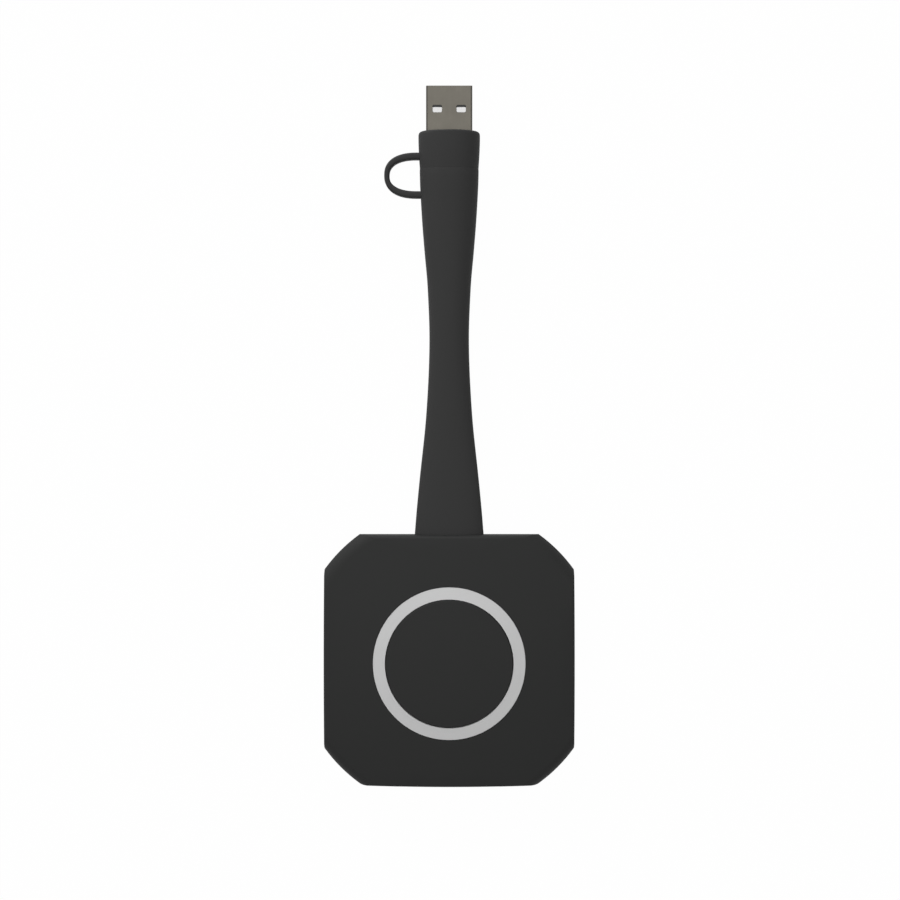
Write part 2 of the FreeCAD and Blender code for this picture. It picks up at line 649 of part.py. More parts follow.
def rear_cover():
    outer = rear_body()
    shell = outer.cut(rear_room())
    below = outer.fuse(rod(RIM_RADIUS, PART_Z, FACE_TOP_Z))
    root_z = FLOOR_Z - WALL / 4
    solids = [shell, lip().common(below), *latches()]
    for x, y in BOSS_PLACES:
        solids.append(post(x, y, REAR_BOSS_WIDTH, root_z, BOSS_JOINT_Z))
    half, edge = PILLAR_WIDTH / 2, MAIN_HALF_WIDTH + FIT_GAP
    for turn in PILLAR_TURNS:
        foot = box(edge - FOOT_DEPTH, edge, -half, half, root_z, MAIN_BOARD_Z)
        pillar = box(edge, edge + PILLAR_DEPTH, -half, half, root_z, BUTTON_BOARD_Z)
        solids.append(about_z(foot.fuse(pillar), turn))
    for side in (-1, 1):
        x, y = side * PRESS_POST_OFFSET, MAIN_HALF_WIDTH - PRESS_POST_INSET
        solids.append(post(x, y, PRESS_POST_WIDTH, root_z, MAIN_BOARD_Z))
        solids.append(cradle_rib(side, root_z, FLOOR_Z + REAR_CRADLE_HEIGHT))
    flange_room = box(
        -ARM_FLANGE_HALF_WIDTH - FIT_GAP,
        ARM_FLANGE_HALF_WIDTH + FIT_GAP,
        FLANGE_BACK_Y - FIT_GAP,
        HALF_WIDTH - WALL,
        FLOOR_Z + ARM_FLANGE_LIFT,
        PART_Z + LIP_HEIGHT + MARGIN,
    )
    pad_half, pad_reach = PAD_HALF_WIDTH + FIT_GAP, PAD_CORNER_RADIUS + FIT_GAP
    pocket = clipped_square(pad_half, pad_reach, REAR_Z - MARGIN, PAD_TOP_Z)
    cuts = [flange_room, pocket, arm_neck(FIT_GAP)]
    for x, y in BOSS_PLACES:
        cuts.append(rod(COVER_HEAD_RADIUS + HOLE_GAP, REAR_Z, HEAD_SEAT_Z, x, y))
        cuts.append(rod(COVER_SCREW_RADIUS + HOLE_GAP, REAR_Z, BOSS_JOINT_Z + MARGIN, x, y))
    return joined(solids).cut(cuts)


def rear_pad():
    return clipped_square(PAD_HALF_WIDTH, PAD_CORNER_RADIUS, 0.0, PAD_TOP_Z)


def cover_screws():
    """Pan-head screws that come in from the back, under the pad."""
    screws = []
    for x, y in BOSS_PLACES:
        head = rod(COVER_HEAD_RADIUS, HEAD_SEAT_Z - COVER_HEAD_HEIGHT, HEAD_SEAT_Z, x, y)
        shank = rod(COVER_SCREW_RADIUS, HEAD_SEAT_Z, HEAD_SEAT_Z + COVER_SCREW_LENGTH, x, y)
        screws.append(joined([head, shank]))
    return group(screws)


def tab_top():
    """Top of the light ring's tabs, just under the front cover's inner face."""
    return dome_z(TAB_RADIUS, WALL) - TOUCH_GAP


def ring_bottom():
    return tab_top() - TAB_THICKNESS


def light_ring():
    """The diffuser: a turned ring whose top follows the dome, with tabs under the front cover."""
    inner_top, middle_top, outer_top = [
        point(r, 0, dome_z(r)) for r in (RING_INNER_RADIUS, LED_CIRCLE, RING_OUTER_RADIUS)
    ]
    foot = ring_bottom()
    outer_foot, inner_foot = point(RING_OUTER_RADIUS, 0, foot), point(RING_INNER_RADIUS, 0, foot)
    top = arc(inner_top, middle_top, outer_top)
    sides = [line(outer_top, outer_foot), line(outer_foot, inner_foot), line(inner_foot, inner_top)]
    half = TAB_WIDTH / 2
    tabs = around(TAB_COUNT, lambda: box(LED_CIRCLE, TAB_RADIUS, -half, half, foot, tab_top()))
    return joined([spin([top, *sides]), *tabs])


def around_leds(length, width, z0, z1):
    """One block on each LED's place, its length along the circle."""
    return around(LED_COUNT, lambda: block((LED_CIRCLE, 0.0), (width, length, z1 - z0), z0))


def light_reflector():
    """A ring with a flat outside and a pocket for each LED."""
    ring = prism(LED_COUNT, RING_OUTER_RADIUS + REFLECTOR_OUTSET, BUTTON_TOP_Z, ring_bottom())
    room = prism(LED_COUNT, REFLECTOR_INNER, BUTTON_TOP_Z, ring_bottom())
    length, width = LED_LENGTH + 2 * LED_CLEARANCE, LED_WIDTH + 2 * LED_CLEARANCE
    return ring.cut([room, *around_leds(length, width, BUTTON_TOP_Z - MARGIN, ring_bottom() + MARGIN)])


def ring_leds():
    return group(around_leds(LED_LENGTH, LED_WIDTH, BUTTON_TOP_Z, BUTTON_TOP_Z + LED_HEIGHT))


def cap_underside():
    return dome_z(CAP_RADIUS, -CAP_PROUD) - CAP_THICKNESS


def stem_top():
    return BUTTON_TOP_Z + SWITCH_HEIGHT + STEM_ABOVE


def button_cap():
    """The push disc: a domed turned cap with a skirt, hooks at its foot, a middle post and ribs."""
    under = cap_underside()
    hook_top = ring_bottom() - TOUCH_GAP
    foot = hook_top - HOOK_HEIGHT
    inside = CAP_RADIUS - SKIRT_THICKNESS
    edge_z = dome_z(CAP_RADIUS, -CAP_PROUD)
    cap = turned(
        [
            (0.0, FACE_TOP_Z + MARGIN),
            (CAP_RADIUS - CAP_CHAMFER - MARGIN, edge_z + MARGIN),
            (CAP_RADIUS, edge_z - CAP_CHAMFER),
            (CAP_RADIUS, foot),
            (inside, foot),
            (inside, under),
            (0.0, under),
        ]
    )
    cap = domed_slab(PART_Z, CAP_PROUD).common(cap)
    # ribs and hooks run half way into the walls that they grow from
    in_skirt, in_top = inside + SKIRT_THICKNESS / 2, under + CAP_THICKNESS / 2
    in_post = (STEM_RADIUS + CAP_POST_RADIUS) / 2
    rib, hook = CAP_RIB_THICKNESS / 2, HOOK_WIDTH / 2
    ribs = around(CAP_RIB_COUNT, lambda: box(in_post, in_skirt, -rib, rib, under - CAP_RIB_HEIGHT, in_top))
    hooks = around(HOOK_COUNT, lambda: box(in_skirt, CAP_RADIUS + HOOK_REACH, -hook, hook, foot, hook_top))
    return joined([cap, rod(CAP_POST_RADIUS, stem_top() + TOUCH_GAP, in_top), *ribs, *hooks])


def button_return_pad():
    """A soft square frame that stands on the board around the switch and lifts the cap by its ribs."""
    top = cap_underside() - CAP_RIB_HEIGHT - TOUCH_GAP
    inside = RETURN_PAD_WIDTH - 2 * RETURN_PAD_THICKNESS
    return post(0.0, 0.0, RETURN_PAD_WIDTH, BUTTON_TOP_Z, top).cut(post(0.0, 0.0, inside, BUTTON_TOP_Z, top))


def switch_body():
    body = block((0.0, 0.0), (SWITCH_WIDTH, SWITCH_WIDTH, SWITCH_HEIGHT), BUTTON_TOP_Z)
    return body.cut(rod(STEM_RADIUS + STEM_GAP, BUTTON_TOP_Z + SWITCH_FLOOR, BUTTON_TOP_Z + SWITCH_HEIGHT))


def switch_stem():
    foot = BUTTON_TOP_Z + SWITCH_FLOOR + STEM_FLOOR_GAP + BUTTON_TRAVEL
    return rod(STEM_RADIUS, foot, stem_top())


def button_board():
    """An eight-sided board with three ears, held between the two covers' posts."""
    solids = [prism(8, BUTTON_BOARD_HALF_WIDTH, BUTTON_BOARD_Z, BUTTON_TOP_Z)]
    reach, half = MAIN_HALF_WIDTH + PILLAR_DEPTH, PILLAR_WIDTH / 2
    for turn in PILLAR_TURNS:
        solids.append(about_z(box(0.0, reach, -half, half, BUTTON_BOARD_Z, BUTTON_TOP_Z), turn))
    return joined(solids)


def main_board():
    """A square board, notched at two corners to pass the screw bosses."""
    half = MAIN_HALF_WIDTH
    board = box(-half, half, -half, half, MAIN_BOARD_Z, MAIN_TOP_Z)
    notches = []
    for side in (-1, 1):
        near, far = sorted((side * NOTCH_EDGE, side * (half + MARGIN)))
        notches.append(box(near, far, NOTCH_EDGE, half + MARGIN, MAIN_BOARD_Z, MAIN_TOP_Z))
    return board.cut(notches)


def near_shield(offset):
    return SHIELD_CENTRE[0] + offset[0], SHIELD_CENTRE[1] + offset[1]


def processor():
    size = PROCESSOR_WIDTH, PROCESSOR_WIDTH, PROCESSOR_HEIGHT
    return block(near_shield(PROCESSOR_OFFSET), size, MAIN_TOP_Z)


def gap_pad():
    """The soft pad that fills the space between the processor and its shield."""
    z0 = MAIN_TOP_Z + PROCESSOR_HEIGHT
    z1 = MAIN_TOP_Z + SHIELD_HEIGHT - SHIELD_SHEET
    return block(near_shield(PROCESSOR_OFFSET), (GAP_PAD_WIDTH, GAP_PAD_WIDTH, z1 - z0), z0)


def memory_chips():
    size = MEMORY_LENGTH, MEMORY_WIDTH, MEMORY_HEIGHT
    x, y = MEMORY_OFFSET
    return group([block(near_shield((x, side * y)), size, MAIN_TOP_Z) for side in (-1, 1)])


def sheet_can(centre, length, width, height, z0):
    """A can of thin sheet, open underneath."""
    outside = block(centre, (length, width, height), z0)
    room = block(centre, (length - 2 * SHIELD_SHEET, width - 2 * SHIELD_SHEET, height - SHIELD_SHEET), z0)
    return outside.cut(room)


def processor_shield():
    return sheet_can(SHIELD_CENTRE, SHIELD_LENGTH, SHIELD_WIDTH, SHIELD_HEIGHT, MAIN_TOP_Z)


def heat_spreader():
    return block((0.0, 0.0), (SPREADER_LENGTH, SPREADER_WIDTH, SPREADER_THICKNESS), SPREADER_Z)


def thermal_pad():
    size = PROCESSOR_WIDTH, PROCESSOR_WIDTH, THERMAL_PAD_THICKNESS
    return block(near_shield(PROCESSOR_OFFSET), size, THERMAL_PAD_Z)


def wifi_module():
    return block(WIFI_CENTRE, (WIFI_WIDTH, WIFI_WIDTH, WIFI_BOARD_THICKNESS), MAIN_TOP_Z)


def wifi_shield():
    top = MAIN_TOP_Z + WIFI_BOARD_THICKNESS
    return sheet_can(WIFI_CENTRE, WIFI_CAN_WIDTH, WIFI_CAN_WIDTH, WIFI_CAN_HEIGHT, top)


def antennas():
    x = MAIN_HALF_WIDTH - ANTENNA_EDGE_GAP - ANTENNA_WIDTH / 2
    size = ANTENNA_WIDTH, ANTENNA_LENGTH, ANTENNA_HEIGHT
    return group([block((side * x, ANTENNA_Y), size, MAIN_TOP_Z) for side in (-1, 1)])


def power_inductors():
    """Square moulded inductors with chamfered corners."""
    solids = []
    for centre in INDUCTOR_CENTRES:
        body = block(centre, (INDUCTOR_WIDTH, INDUCTOR_WIDTH, INDUCTOR_HEIGHT), MAIN_TOP_Z)
        solids.append(body.makeChamfer(INDUCTOR_CORNER, edges_along(body, Z_AXIS)))
    return group(solids)


def capacitors():
    size = CAPACITOR_LENGTH, CAPACITOR_WIDTH, CAPACITOR_HEIGHT
    return group([block(centre, size, MAIN_TOP_Z) for centre in CAPACITOR_CENTRES])


def board_socket():
    half = BOARD_SPACING / 2
    body = block(LINK_CENTRE, (LINK_LENGTH, LINK_WIDTH, half), MAIN_TOP_Z)
    slot_size = LINK_LENGTH - 2 * LINK_WALL, LINK_TONGUE_WIDTH + 2 * FIT_GAP, half
    return body.cut(block(LINK_CENTRE, slot_size, BUTTON_BOARD_Z - half - LINK_TONGUE_HEIGHT - FIT_GAP))


def board_plug():
    half = BOARD_SPACING / 2
    body = block(LINK_CENTRE, (LINK_LENGTH, LINK_WIDTH, half), BUTTON_BOARD_Z - half)
    size = LINK_LENGTH - 2 * LINK_WALL - 2 * FIT_GAP, LINK_TONGUE_WIDTH, LINK_TONGUE_HEIGHT + half
    return joined([body, block(LINK_CENTRE, size, BUTTON_BOARD_Z - half - LINK_TONGUE_HEIGHT)])


def cable_plug_box(gap=0.0):
    """The plug's tongue in the socket, or with a gap its room."""
    half = (CABLE_SOCKET_LENGTH - 2 * LINK_WALL) / 2 + gap - FIT_GAP
    z0 = MAIN_TOP_Z + CABLE_PLUG_LIFT + FIT_GAP - gap
    z1 = MAIN_TOP_Z + CABLE_SOCKET_HEIGHT - CABLE_PLUG_LIFT - FIT_GAP + gap
    y0 = CABLE_MOUTH_Y - CABLE_SOCKET_DEPTH / 2
    return box(-half, half, y0 - gap, CABLE_MOUTH_Y + CABLE_PLUG_DEPTH, z0, z1)


def cable_socket():
    centre = 0.0, CABLE_MOUTH_Y - CABLE_SOCKET_DEPTH / 2
    body = block(centre, (CABLE_SOCKET_LENGTH, CABLE_SOCKET_DEPTH, CABLE_SOCKET_HEIGHT), MAIN_TOP_Z)
    return body.cut(cable_plug_box(FIT_GAP))


def cable_wires():
    """Four short wires that spread from the cable's end to the cable plug."""
    wires = []
    start_y = CABLE_MOUTH_Y + CABLE_PLUG_DEPTH
    start_z = MAIN_TOP_Z + CABLE_SOCKET_HEIGHT / 2
    for side in (-1, 1):
        for outer in (0, 1):
            a = point(side * WIRE_PITCH * (0.5 + outer), start_y, start_z)
            b = point(side * WIRE_SPREAD, CABLE_END_Y, PART_Z + WIRE_SPREAD * (2 * outer - 1))
            wires.append(straight_wire(a, b))
    return group(wires)


def straight_wire(a, b):
    """A wire from a to b whose ends are square to Y, flat on the faces that it leaves and meets."""
    angles = [2 * math.pi * side / WIRE_SIDES for side in range(WIRE_SIDES)]
    rim = [a + point(WIRE_RADIUS * math.cos(t), 0, WIRE_RADIUS * math.sin(t)) for t in angles]
    return face_of(loop_through(rim)).extrude(b - a)


def arm_body():
    """The arm's outside, from the puck to the seam."""
    stations = [ARM_ROOT, *ARM_SECTIONS, (ARM_LENGTH, SEAM_HALF_WIDTH, SEAM_HALF_THICKNESS)]
    body = oval_skin(stations, ARM_STEPS)
    body.translate(point(0, HALF_WIDTH, 0))
    return body


def arm_overmould():
    """The arm, its flat neck and the flange that the covers trap, with room for what it is moulded over."""
    body = arm_body()
    seam = [e for e in body.Edges if e.BoundBox.YMin > SEAM_Y - EDGE_REACH]
    body = body.makeChamfer(SEAM_CHAMFER, seam)
    half = ARM_FLANGE_HALF_WIDTH
    z0 = FLOOR_Z + ARM_FLANGE_LIFT
    flange = box(-half, half, FLANGE_BACK_Y, FLANGE_Y, z0, z0 + ARM_FLANGE_HEIGHT)
    mould = plug_mould_body()
    bore = rod_along_y(CABLE_RADIUS + CABLE_BORE_GAP, FLANGE_BACK_Y - MARGIN, PLUG_MOULD_Y)
    return joined([body, arm_neck(), flange]).cut([mould, bore])


def data_cable():
    return rod_along_y(CABLE_RADIUS, CABLE_END_Y, PLUG_MOULD_Y)


def plug_mould_body():
    return oval_bar(PLUG_MOULD_HALF_WIDTH, PLUG_MOULD_HALF_THICKNESS, PLUG_MOULD_Y, SEAM_Y)


def plug_board():
    length, depth, thickness = PLUG_BOARD_SIZE
    y1 = SEAM_Y - PLUG_BURIED
    z0 = PART_Z - thickness / 2
    return box(-length / 2, length / 2, y1 - depth, y1, z0, z0 + thickness)


def plug_inner_mould():
    """The hard block inside the arm's end that holds the USB-C plug and its small board."""
    buried = stadium_bar(PLUG_WIDTH, PLUG_HEIGHT, SEAM_Y - PLUG_BURIED, SEAM_Y + MARGIN)
    return plug_mould_body().cut([buried, plug_board()])


def usb_c_plug_shell():
    outside = stadium_bar(PLUG_WIDTH, PLUG_HEIGHT, SEAM_Y - PLUG_BURIED, PLUG_TIP_Y)
    return outside.cut(plug_room())


def plug_room():
    inside = PLUG_WIDTH - 2 * PLUG_SHEET, PLUG_HEIGHT - 2 * PLUG_SHEET
    return stadium_bar(*inside, SEAM_Y - PLUG_BURIED, PLUG_TIP_Y)


def usb_c_plug_insulator():
    half = PLUG_SLOT_WIDTH / 2
    z0, z1 = PART_Z - PLUG_SLOT_HEIGHT / 2, PART_Z + PLUG_SLOT_HEIGHT / 2
    slot = box(-half, half, PLUG_TIP_Y - PLUG_SLOT_DEPTH, PLUG_TIP_Y + MARGIN, z0, z1)
    return plug_room().cut(slot)


def contact_rows(size, y0, outer_z):
    """Two facing rows of flat contacts; outer_z is how far their outer faces are from the middle."""
    width, length, thickness = size
    first = -(PLUG_CONTACT_COUNT - 1) / 2 * PLUG_CONTACT_PITCH
    contacts = []
    for side in (-1, 1):
        z0, z1 = sorted((PART_Z + side * (outer_z - thickness), PART_Z + side * outer_z))
        for index in range(PLUG_CONTACT_COUNT):
            x = first + index * PLUG_CONTACT_PITCH
            contacts.append(box(x - width / 2, x + width / 2, y0, y0 + length, z0, z1))
    return contacts


def usb_c_plug_contacts():
    return group(contact_rows(PLUG_CONTACT_SIZE, PLUG_TIP_Y - PLUG_SLOT_DEPTH, PLUG_SLOT_HEIGHT / 2))


def head_body(extra=0.0):
    """The adapter head's outside with its rounded end, or with an extra a body that much wider."""
    start, half_width, half_thickness = HEAD_WIDEST
    wires = [
        oval_wire(SEAM_GAP, SEAM_HALF_WIDTH + extra, SEAM_HALF_THICKNESS + extra),
        oval_wire(start, half_width + extra, half_thickness + extra),
    ]
    for step in range(HEAD_ROUND_STEPS + 1):
        angle = math.pi / 2 * step / HEAD_ROUND_STEPS
        y = HEAD_LENGTH - HEAD_END_ROUND * (1 - math.sin(angle))
        inset = HEAD_END_ROUND * (1 - math.cos(angle)) - extra
        wires.append(oval_wire(y, half_width - inset, half_thickness - inset))
    body = Part.makeLoft(wires, True, True)
    body.translate(point(0, SEAM_Y, 0))
    return body


def usb_a_block(extra=0.0):
    """What the USB-A shell encloses, with its sheet."""
    width, height = USB_A_WIDTH + 2 * extra, USB_A_HEIGHT + 2 * extra
    return rounded_bar(width, height, USB_A_CORNER + extra, USB_A_REAR_Y, USB_A_TIP_Y)


def core_flange():
    y1 = HEAD_Y + CORE_FLANGE_LENGTH
    return oval_bar(CORE_FLANGE_HALF_WIDTH, CORE_FLANGE_HALF_THICKNESS, HEAD_Y, y1)


def adapter_collar():
    """The soft outside of the adapter head, moulded over its core and the USB-A shell."""
    body = head_body()
    seam = [e for e in body.Edges if e.BoundBox.YMax < HEAD_Y + EDGE_REACH]
    body = body.makeChamfer(SEAM_CHAMFER, seam)
    return body.cut([core_flange(), usb_a_block()])


def socket_block():
    """What the USB-C socket's shell encloses, with its sheet."""
    grow = 2 * (SOCKET_PLUG_GAP + SOCKET_SHEET)
    return stadium_bar(PLUG_WIDTH + grow, PLUG_HEIGHT + grow, HEAD_Y, SOCKET_END_Y)


def socket_room():
    grow = 2 * SOCKET_PLUG_GAP
    return stadium_bar(PLUG_WIDTH + grow, PLUG_HEIGHT + grow, HEAD_Y, SOCKET_END_Y)


def adapter_core():
    """The hard core: a flange at the seam and a sleeve in the USB-A shell, around the USB-C socket."""
    width, height = USB_A_WIDTH - 2 * USB_A_SHEET, USB_A_HEIGHT - 2 * USB_A_SHEET
    sleeve = rounded_bar(width, height, USB_A_CORNER - USB_A_SHEET, USB_A_REAR_Y, SOCKET_END_Y)
    return core_flange().fuse(sleeve).cut(socket_block())


def usb_c_socket_shell():
    return socket_block().cut(socket_room())


def socket_pads():
    size = PLUG_CONTACT_SIZE[0], SOCKET_PAD_LENGTH, SOCKET_PAD_DEPTH
    tip = SOCKET_BASE_Y - TONGUE_LENGTH
    return contact_rows(size, tip + SOCKET_PAD_DEPTH, TONGUE_THICKNESS / 2)


def usb_c_socket_tongue():
    """The socket's base and the thin tongue that stands in the plug's slot."""
    grow = 2 * SOCKET_PLUG_GAP
    base = stadium_bar(PLUG_WIDTH + grow, PLUG_HEIGHT + grow, SOCKET_BASE_Y, SOCKET_END_Y)
    z0, z1 = PART_Z - TONGUE_THICKNESS / 2, PART_Z + TONGUE_THICKNESS / 2
    half = TONGUE_WIDTH / 2
    tongue = box(-half, half, SOCKET_BASE_Y - TONGUE_LENGTH, SOCKET_BASE_Y + SOCKET_BASE_LENGTH / 2, z0, z1)
    return joined([base, tongue]).cut(socket_pads())


def adapter_board():
    half_width = USB_A_WIDTH / 2 - USB_A_SHEET - FIT_GAP
    half_height = USB_A_HEIGHT / 2 - USB_A_SHEET - FIT_GAP
    y1 = ADAPTER_BOARD_Y + ADAPTER_BOARD_THICKNESS
    return box(-half_width, half_width, ADAPTER_BOARD_Y, y1, PART_Z - half_height, PART_Z + half_height)


def window(side, front):
    """One of the shell's windows as a cutter; side is left or right, front the face under the disc."""
    centre = side * WINDOW_OFFSET, (WINDOW_REAR_Y + WINDOW_TIP_Y) / 2
    reach = USB_A_SHEET + FIT_GAP
    z = PART_Z + front * USB_A_HEIGHT / 2
    cutter = block(centre, (WINDOW_WIDTH, WINDOW_LENGTH, 2 * reach), z - reach)
    return cutter.makeFillet(WINDOW_CORNER, edges_along(cutter, Z_AXIS))


def usb_a_shell():
    """The folded sheet shell of the plug, with two windows in each wide face."""
    width, height = USB_A_WIDTH - 2 * USB_A_SHEET, USB_A_HEIGHT - 2 * USB_A_SHEET
    room = rounded_bar(width, height, USB_A_CORNER - USB_A_SHEET, USB_A_REAR_Y, USB_A_TIP_Y)
    windows = [window(side, front) for side in (-1, 1) for front in (-1, 1)]
    return usb_a_block().cut([room, *windows])


def usb_a_contact_boxes():
    """Flat contacts half sunk in the tongue's underside."""
    z1 = tongue_under_z() + USB_A_CONTACT_THICKNESS / 2
    y0, half = USB_A_TIP_Y - USB_A_CAVITY_DEPTH, USB_A_CONTACT_WIDTH / 2
    return [
        box(x - half, x + half, y0, y0 + length, z1 - USB_A_CONTACT_THICKNESS, z1)
        for x, length in USB_A_CONTACT_PLACES
    ]


def tongue_under_z():
    return PART_Z + USB_A_HEIGHT / 2 - USB_A_SHEET - USB_A_TONGUE_THICKNESS


def usb_a_insulator():
    """The white tongue under the plug's front face, its rear block, and the barbs seen in the windows."""
    half = USB_A_WIDTH / 2 - USB_A_SHEET - TOUCH_GAP
    top = PART_Z + USB_A_HEIGHT / 2 - USB_A_SHEET - TOUCH_GAP
    bottom = PART_Z - USB_A_HEIGHT / 2 + USB_A_SHEET + TOUCH_GAP
    rear = box(-half, half, INSULATOR_REAR_Y, USB_A_TIP_Y - USB_A_CAVITY_DEPTH, bottom, top)
    tongue = box(-half, half, INSULATOR_REAR_Y, USB_A_TIP_Y - USB_A_TONGUE_BACK, tongue_under_z(), top)
    solids = [rear, tongue]
    for side in (-1, 1):
        x = side * WINDOW_OFFSET
        reach = WINDOW_WIDTH / 2 - TOUCH_GAP
        y0, y1 = WINDOW_REAR_Y + TOUCH_GAP, WINDOW_TIP_Y - BARB_GAP
        barb = box(x - reach, x + reach, y0, y1, top - USB_A_SHEET, PART_Z + USB_A_HEIGHT / 2 - BARB_SUNK)
        solids.append(barb.makeFillet(WINDOW_CORNER, edges_along(barb, Z_AXIS)))
    return joined(solids).cut(usb_a_contact_boxes())


def tether():
    """The flat strap that loops out of the head's side, across the seam and back into the arm."""
    cy = SEAM_Y - STRAP_BELOW_SEAM
    flare = math.radians(STRAP_FLARE)
    lean = math.tan(flare)

    def on_arc(radius, angle):
        return point(STRAP_CENTRE_X + radius * math.cos(angle), cy + radius * math.sin(angle), 0)

    outer_start = on_arc(STRAP_OUTER_RADIUS, math.pi / 2 + flare)
    outer_end = on_arc(STRAP_OUTER_RADIUS, -math.pi / 2 - flare)
    inner_start = on_arc(STRAP_INNER_RADIUS, math.pi / 2)
    inner_end = on_arc(STRAP_INNER_RADIUS, -math.pi / 2)
    rise = (STRAP_ROOT_X - outer_start.x) * lean
    head_root = point(STRAP_ROOT_X, outer_start.y + rise, 0), point(STRAP_ROOT_X, inner_start.y, 0)
    arm_root = point(STRAP_ROOT_X, outer_end.y - rise, 0), point(STRAP_ROOT_X, inner_end.y, 0)
    outline = face_of(
        [
            line(head_root[0], outer_start),
            arc(outer_start, on_arc(STRAP_OUTER_RADIUS, math.pi), outer_end),
            line(outer_end, arm_root[0]),
            line(arm_root[0], arm_root[1]),
            line(arm_root[1], inner_end),
            arc(inner_end, on_arc(STRAP_INNER_RADIUS, math.pi), inner_start),
            line(inner_start, head_root[1]),
            line(head_root[1], head_root[0]),
        ]
    )
    outline.translate(point(0, 0, PART_Z - STRAP_WIDTH / 2))
    return outline.extrude(point(0, 0, STRAP_WIDTH)).cut([arm_body(), head_body(TOUCH_GAP)])


PIECES = {
    "front_cover": front_cover,
    "rear_cover": rear_cover,
    "rear_pad": rear_pad,
    "cover_screws": cover_screws,
    "light_ring": light_ring,
    "light_reflector": light_reflector,
    "ring_leds": ring_leds,
    "button_cap": button_cap,
    "button_return_pad": button_return_pad,
    "switch_body": switch_body,
    "switch_stem": switch_stem,
    "button_board": button_board,
    "board_plug": board_plug,
    "board_socket": board_socket,
    "main_board": main_board,
    "processor": processor,
    "gap_pad": gap_pad,
    "memory_chips": memory_chips,
    "processor_shield": processor_shield,
    "heat_spreader": heat_spreader,
    "thermal_pad": thermal_pad,
    "wifi_module": wifi_module,
    "wifi_shield": wifi_shield,
    "antennas": antennas,
    "power_inductors": power_inductors,
    "capacitors": capacitors,
    "crystal": lambda: block(CRYSTAL_CENTRE, CRYSTAL_SIZE, MAIN_TOP_Z),
    "flash_chip": lambda: block(FLASH_CENTRE, FLASH_SIZE, MAIN_TOP_Z),
    "cable_socket": cable_socket,
    "cable_plug": cable_plug_box,
    "cable_wires": cable_wires,
    "data_cable": data_cable,
    "arm_overmould": arm_overmould,
    "plug_inner_mould": plug_inner_mould,
    "plug_board": plug_board,
    "usb_c_plug_shell": usb_c_plug_shell,
    "usb_c_plug_insulator": usb_c_plug_insulator,
    "usb_c_plug_contacts": usb_c_plug_contacts,
    "adapter_collar": adapter_collar,
    "adapter_core": adapter_core,
    "usb_c_socket_shell": usb_c_socket_shell,
    "usb_c_socket_tongue": usb_c_socket_tongue,
    "usb_c_socket_contacts": lambda: group(socket_pads()),
    "adapter_board": adapter_board,
    "usb_a_shell": usb_a_shell,
    "usb_a_insulator": usb_a_insulator,
    "usb_a_contacts": lambda: group(usb_a_contact_boxes()),
    "tether": tether,
}


def main():
    os.makedirs("parts", exist_ok=True)
    for name, make in PIECES.items():
        shape = make()
        shape.exportStep(f"parts/{name}.step")
        print(f"{name}: {len(shape.Solids)} solid(s), {shape.Volume:.1f} mm3, valid {shape.isValid()}")


main()
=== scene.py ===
"""Looks of a wireless presentation dongle: puck, light ring, flexible arm and plug head.

Lengths in the classes are millimetres, but metres in the studio; meshes are made in metres.
"""

import logging
import math
from dataclasses import dataclass
from enum import Enum

import bmesh
import bpy
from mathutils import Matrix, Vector


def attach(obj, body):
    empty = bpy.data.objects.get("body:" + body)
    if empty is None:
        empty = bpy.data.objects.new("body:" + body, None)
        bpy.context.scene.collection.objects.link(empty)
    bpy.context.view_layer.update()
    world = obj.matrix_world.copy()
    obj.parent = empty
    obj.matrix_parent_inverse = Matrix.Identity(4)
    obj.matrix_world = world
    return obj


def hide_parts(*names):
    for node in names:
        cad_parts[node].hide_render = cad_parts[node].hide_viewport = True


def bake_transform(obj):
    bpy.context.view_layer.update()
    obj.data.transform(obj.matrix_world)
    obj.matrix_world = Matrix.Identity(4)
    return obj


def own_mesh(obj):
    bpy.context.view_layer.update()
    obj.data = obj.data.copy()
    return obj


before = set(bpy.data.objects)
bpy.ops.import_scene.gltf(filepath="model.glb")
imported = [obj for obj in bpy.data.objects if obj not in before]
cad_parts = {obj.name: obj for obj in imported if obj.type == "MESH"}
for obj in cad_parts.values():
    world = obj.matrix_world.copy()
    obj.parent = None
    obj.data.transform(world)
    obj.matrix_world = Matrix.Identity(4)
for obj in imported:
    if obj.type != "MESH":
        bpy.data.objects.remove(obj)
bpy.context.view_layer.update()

logging.basicConfig(level=logging.INFO, format="%(message)s")
log = logging.getLogger("dongle")

MM = 0.001
PARTING_Z = 6.0
SMOOTH_ANGLE = 40.0  # degrees between faces, above which an edge stays sharp
BEVEL_SEGMENTS = 2
HAIRLINE_SIZE = 3.0  # how many times as coarse as the grain the hairlines are
WHITE = (1.0, 1.0, 1.0, 1.0)
ROOT_BODY = "puck_and_arm"
ADAPTER_BODY = "adapter"

Colour = tuple[float, float, float]
Station = tuple[float, float, float]
Node = bpy.types.Node
Socket = bpy.types.NodeSocket


class Lay(Enum):
    """Which way the fine marks of a finish run; the value stretches the noise along X, Y and Z."""

    EVEN = (1.0, 1.0, 1.0)
    ALONG_PLUG = (1.0, 0.06, 1.0)
    ACROSS_CAN = (0.08, 1.0, 1.0)


def deselect_everything() -> None:
    """Clear the selection, so that an operator acts only on what is picked next."""
    bpy.ops.object.select_all(action="DESELECT")


def pick(obj: bpy.types.Object) -> None:
    """Make one object the only selected and active one.

    Args:
        obj: The object to work on.
    """
    deselect_everything()
    obj.select_set(True)
    bpy.context.view_layer.objects.active = obj


def edit(obj: bpy.types.Object) -> None:
    """Open one object's mesh in edit mode, with all of it selected.

    Args:
        obj: The object to edit.
    """
    pick(obj)
    bpy.ops.object.mode_set(mode="EDIT")
    bpy.ops.mesh.select_all(action="SELECT")


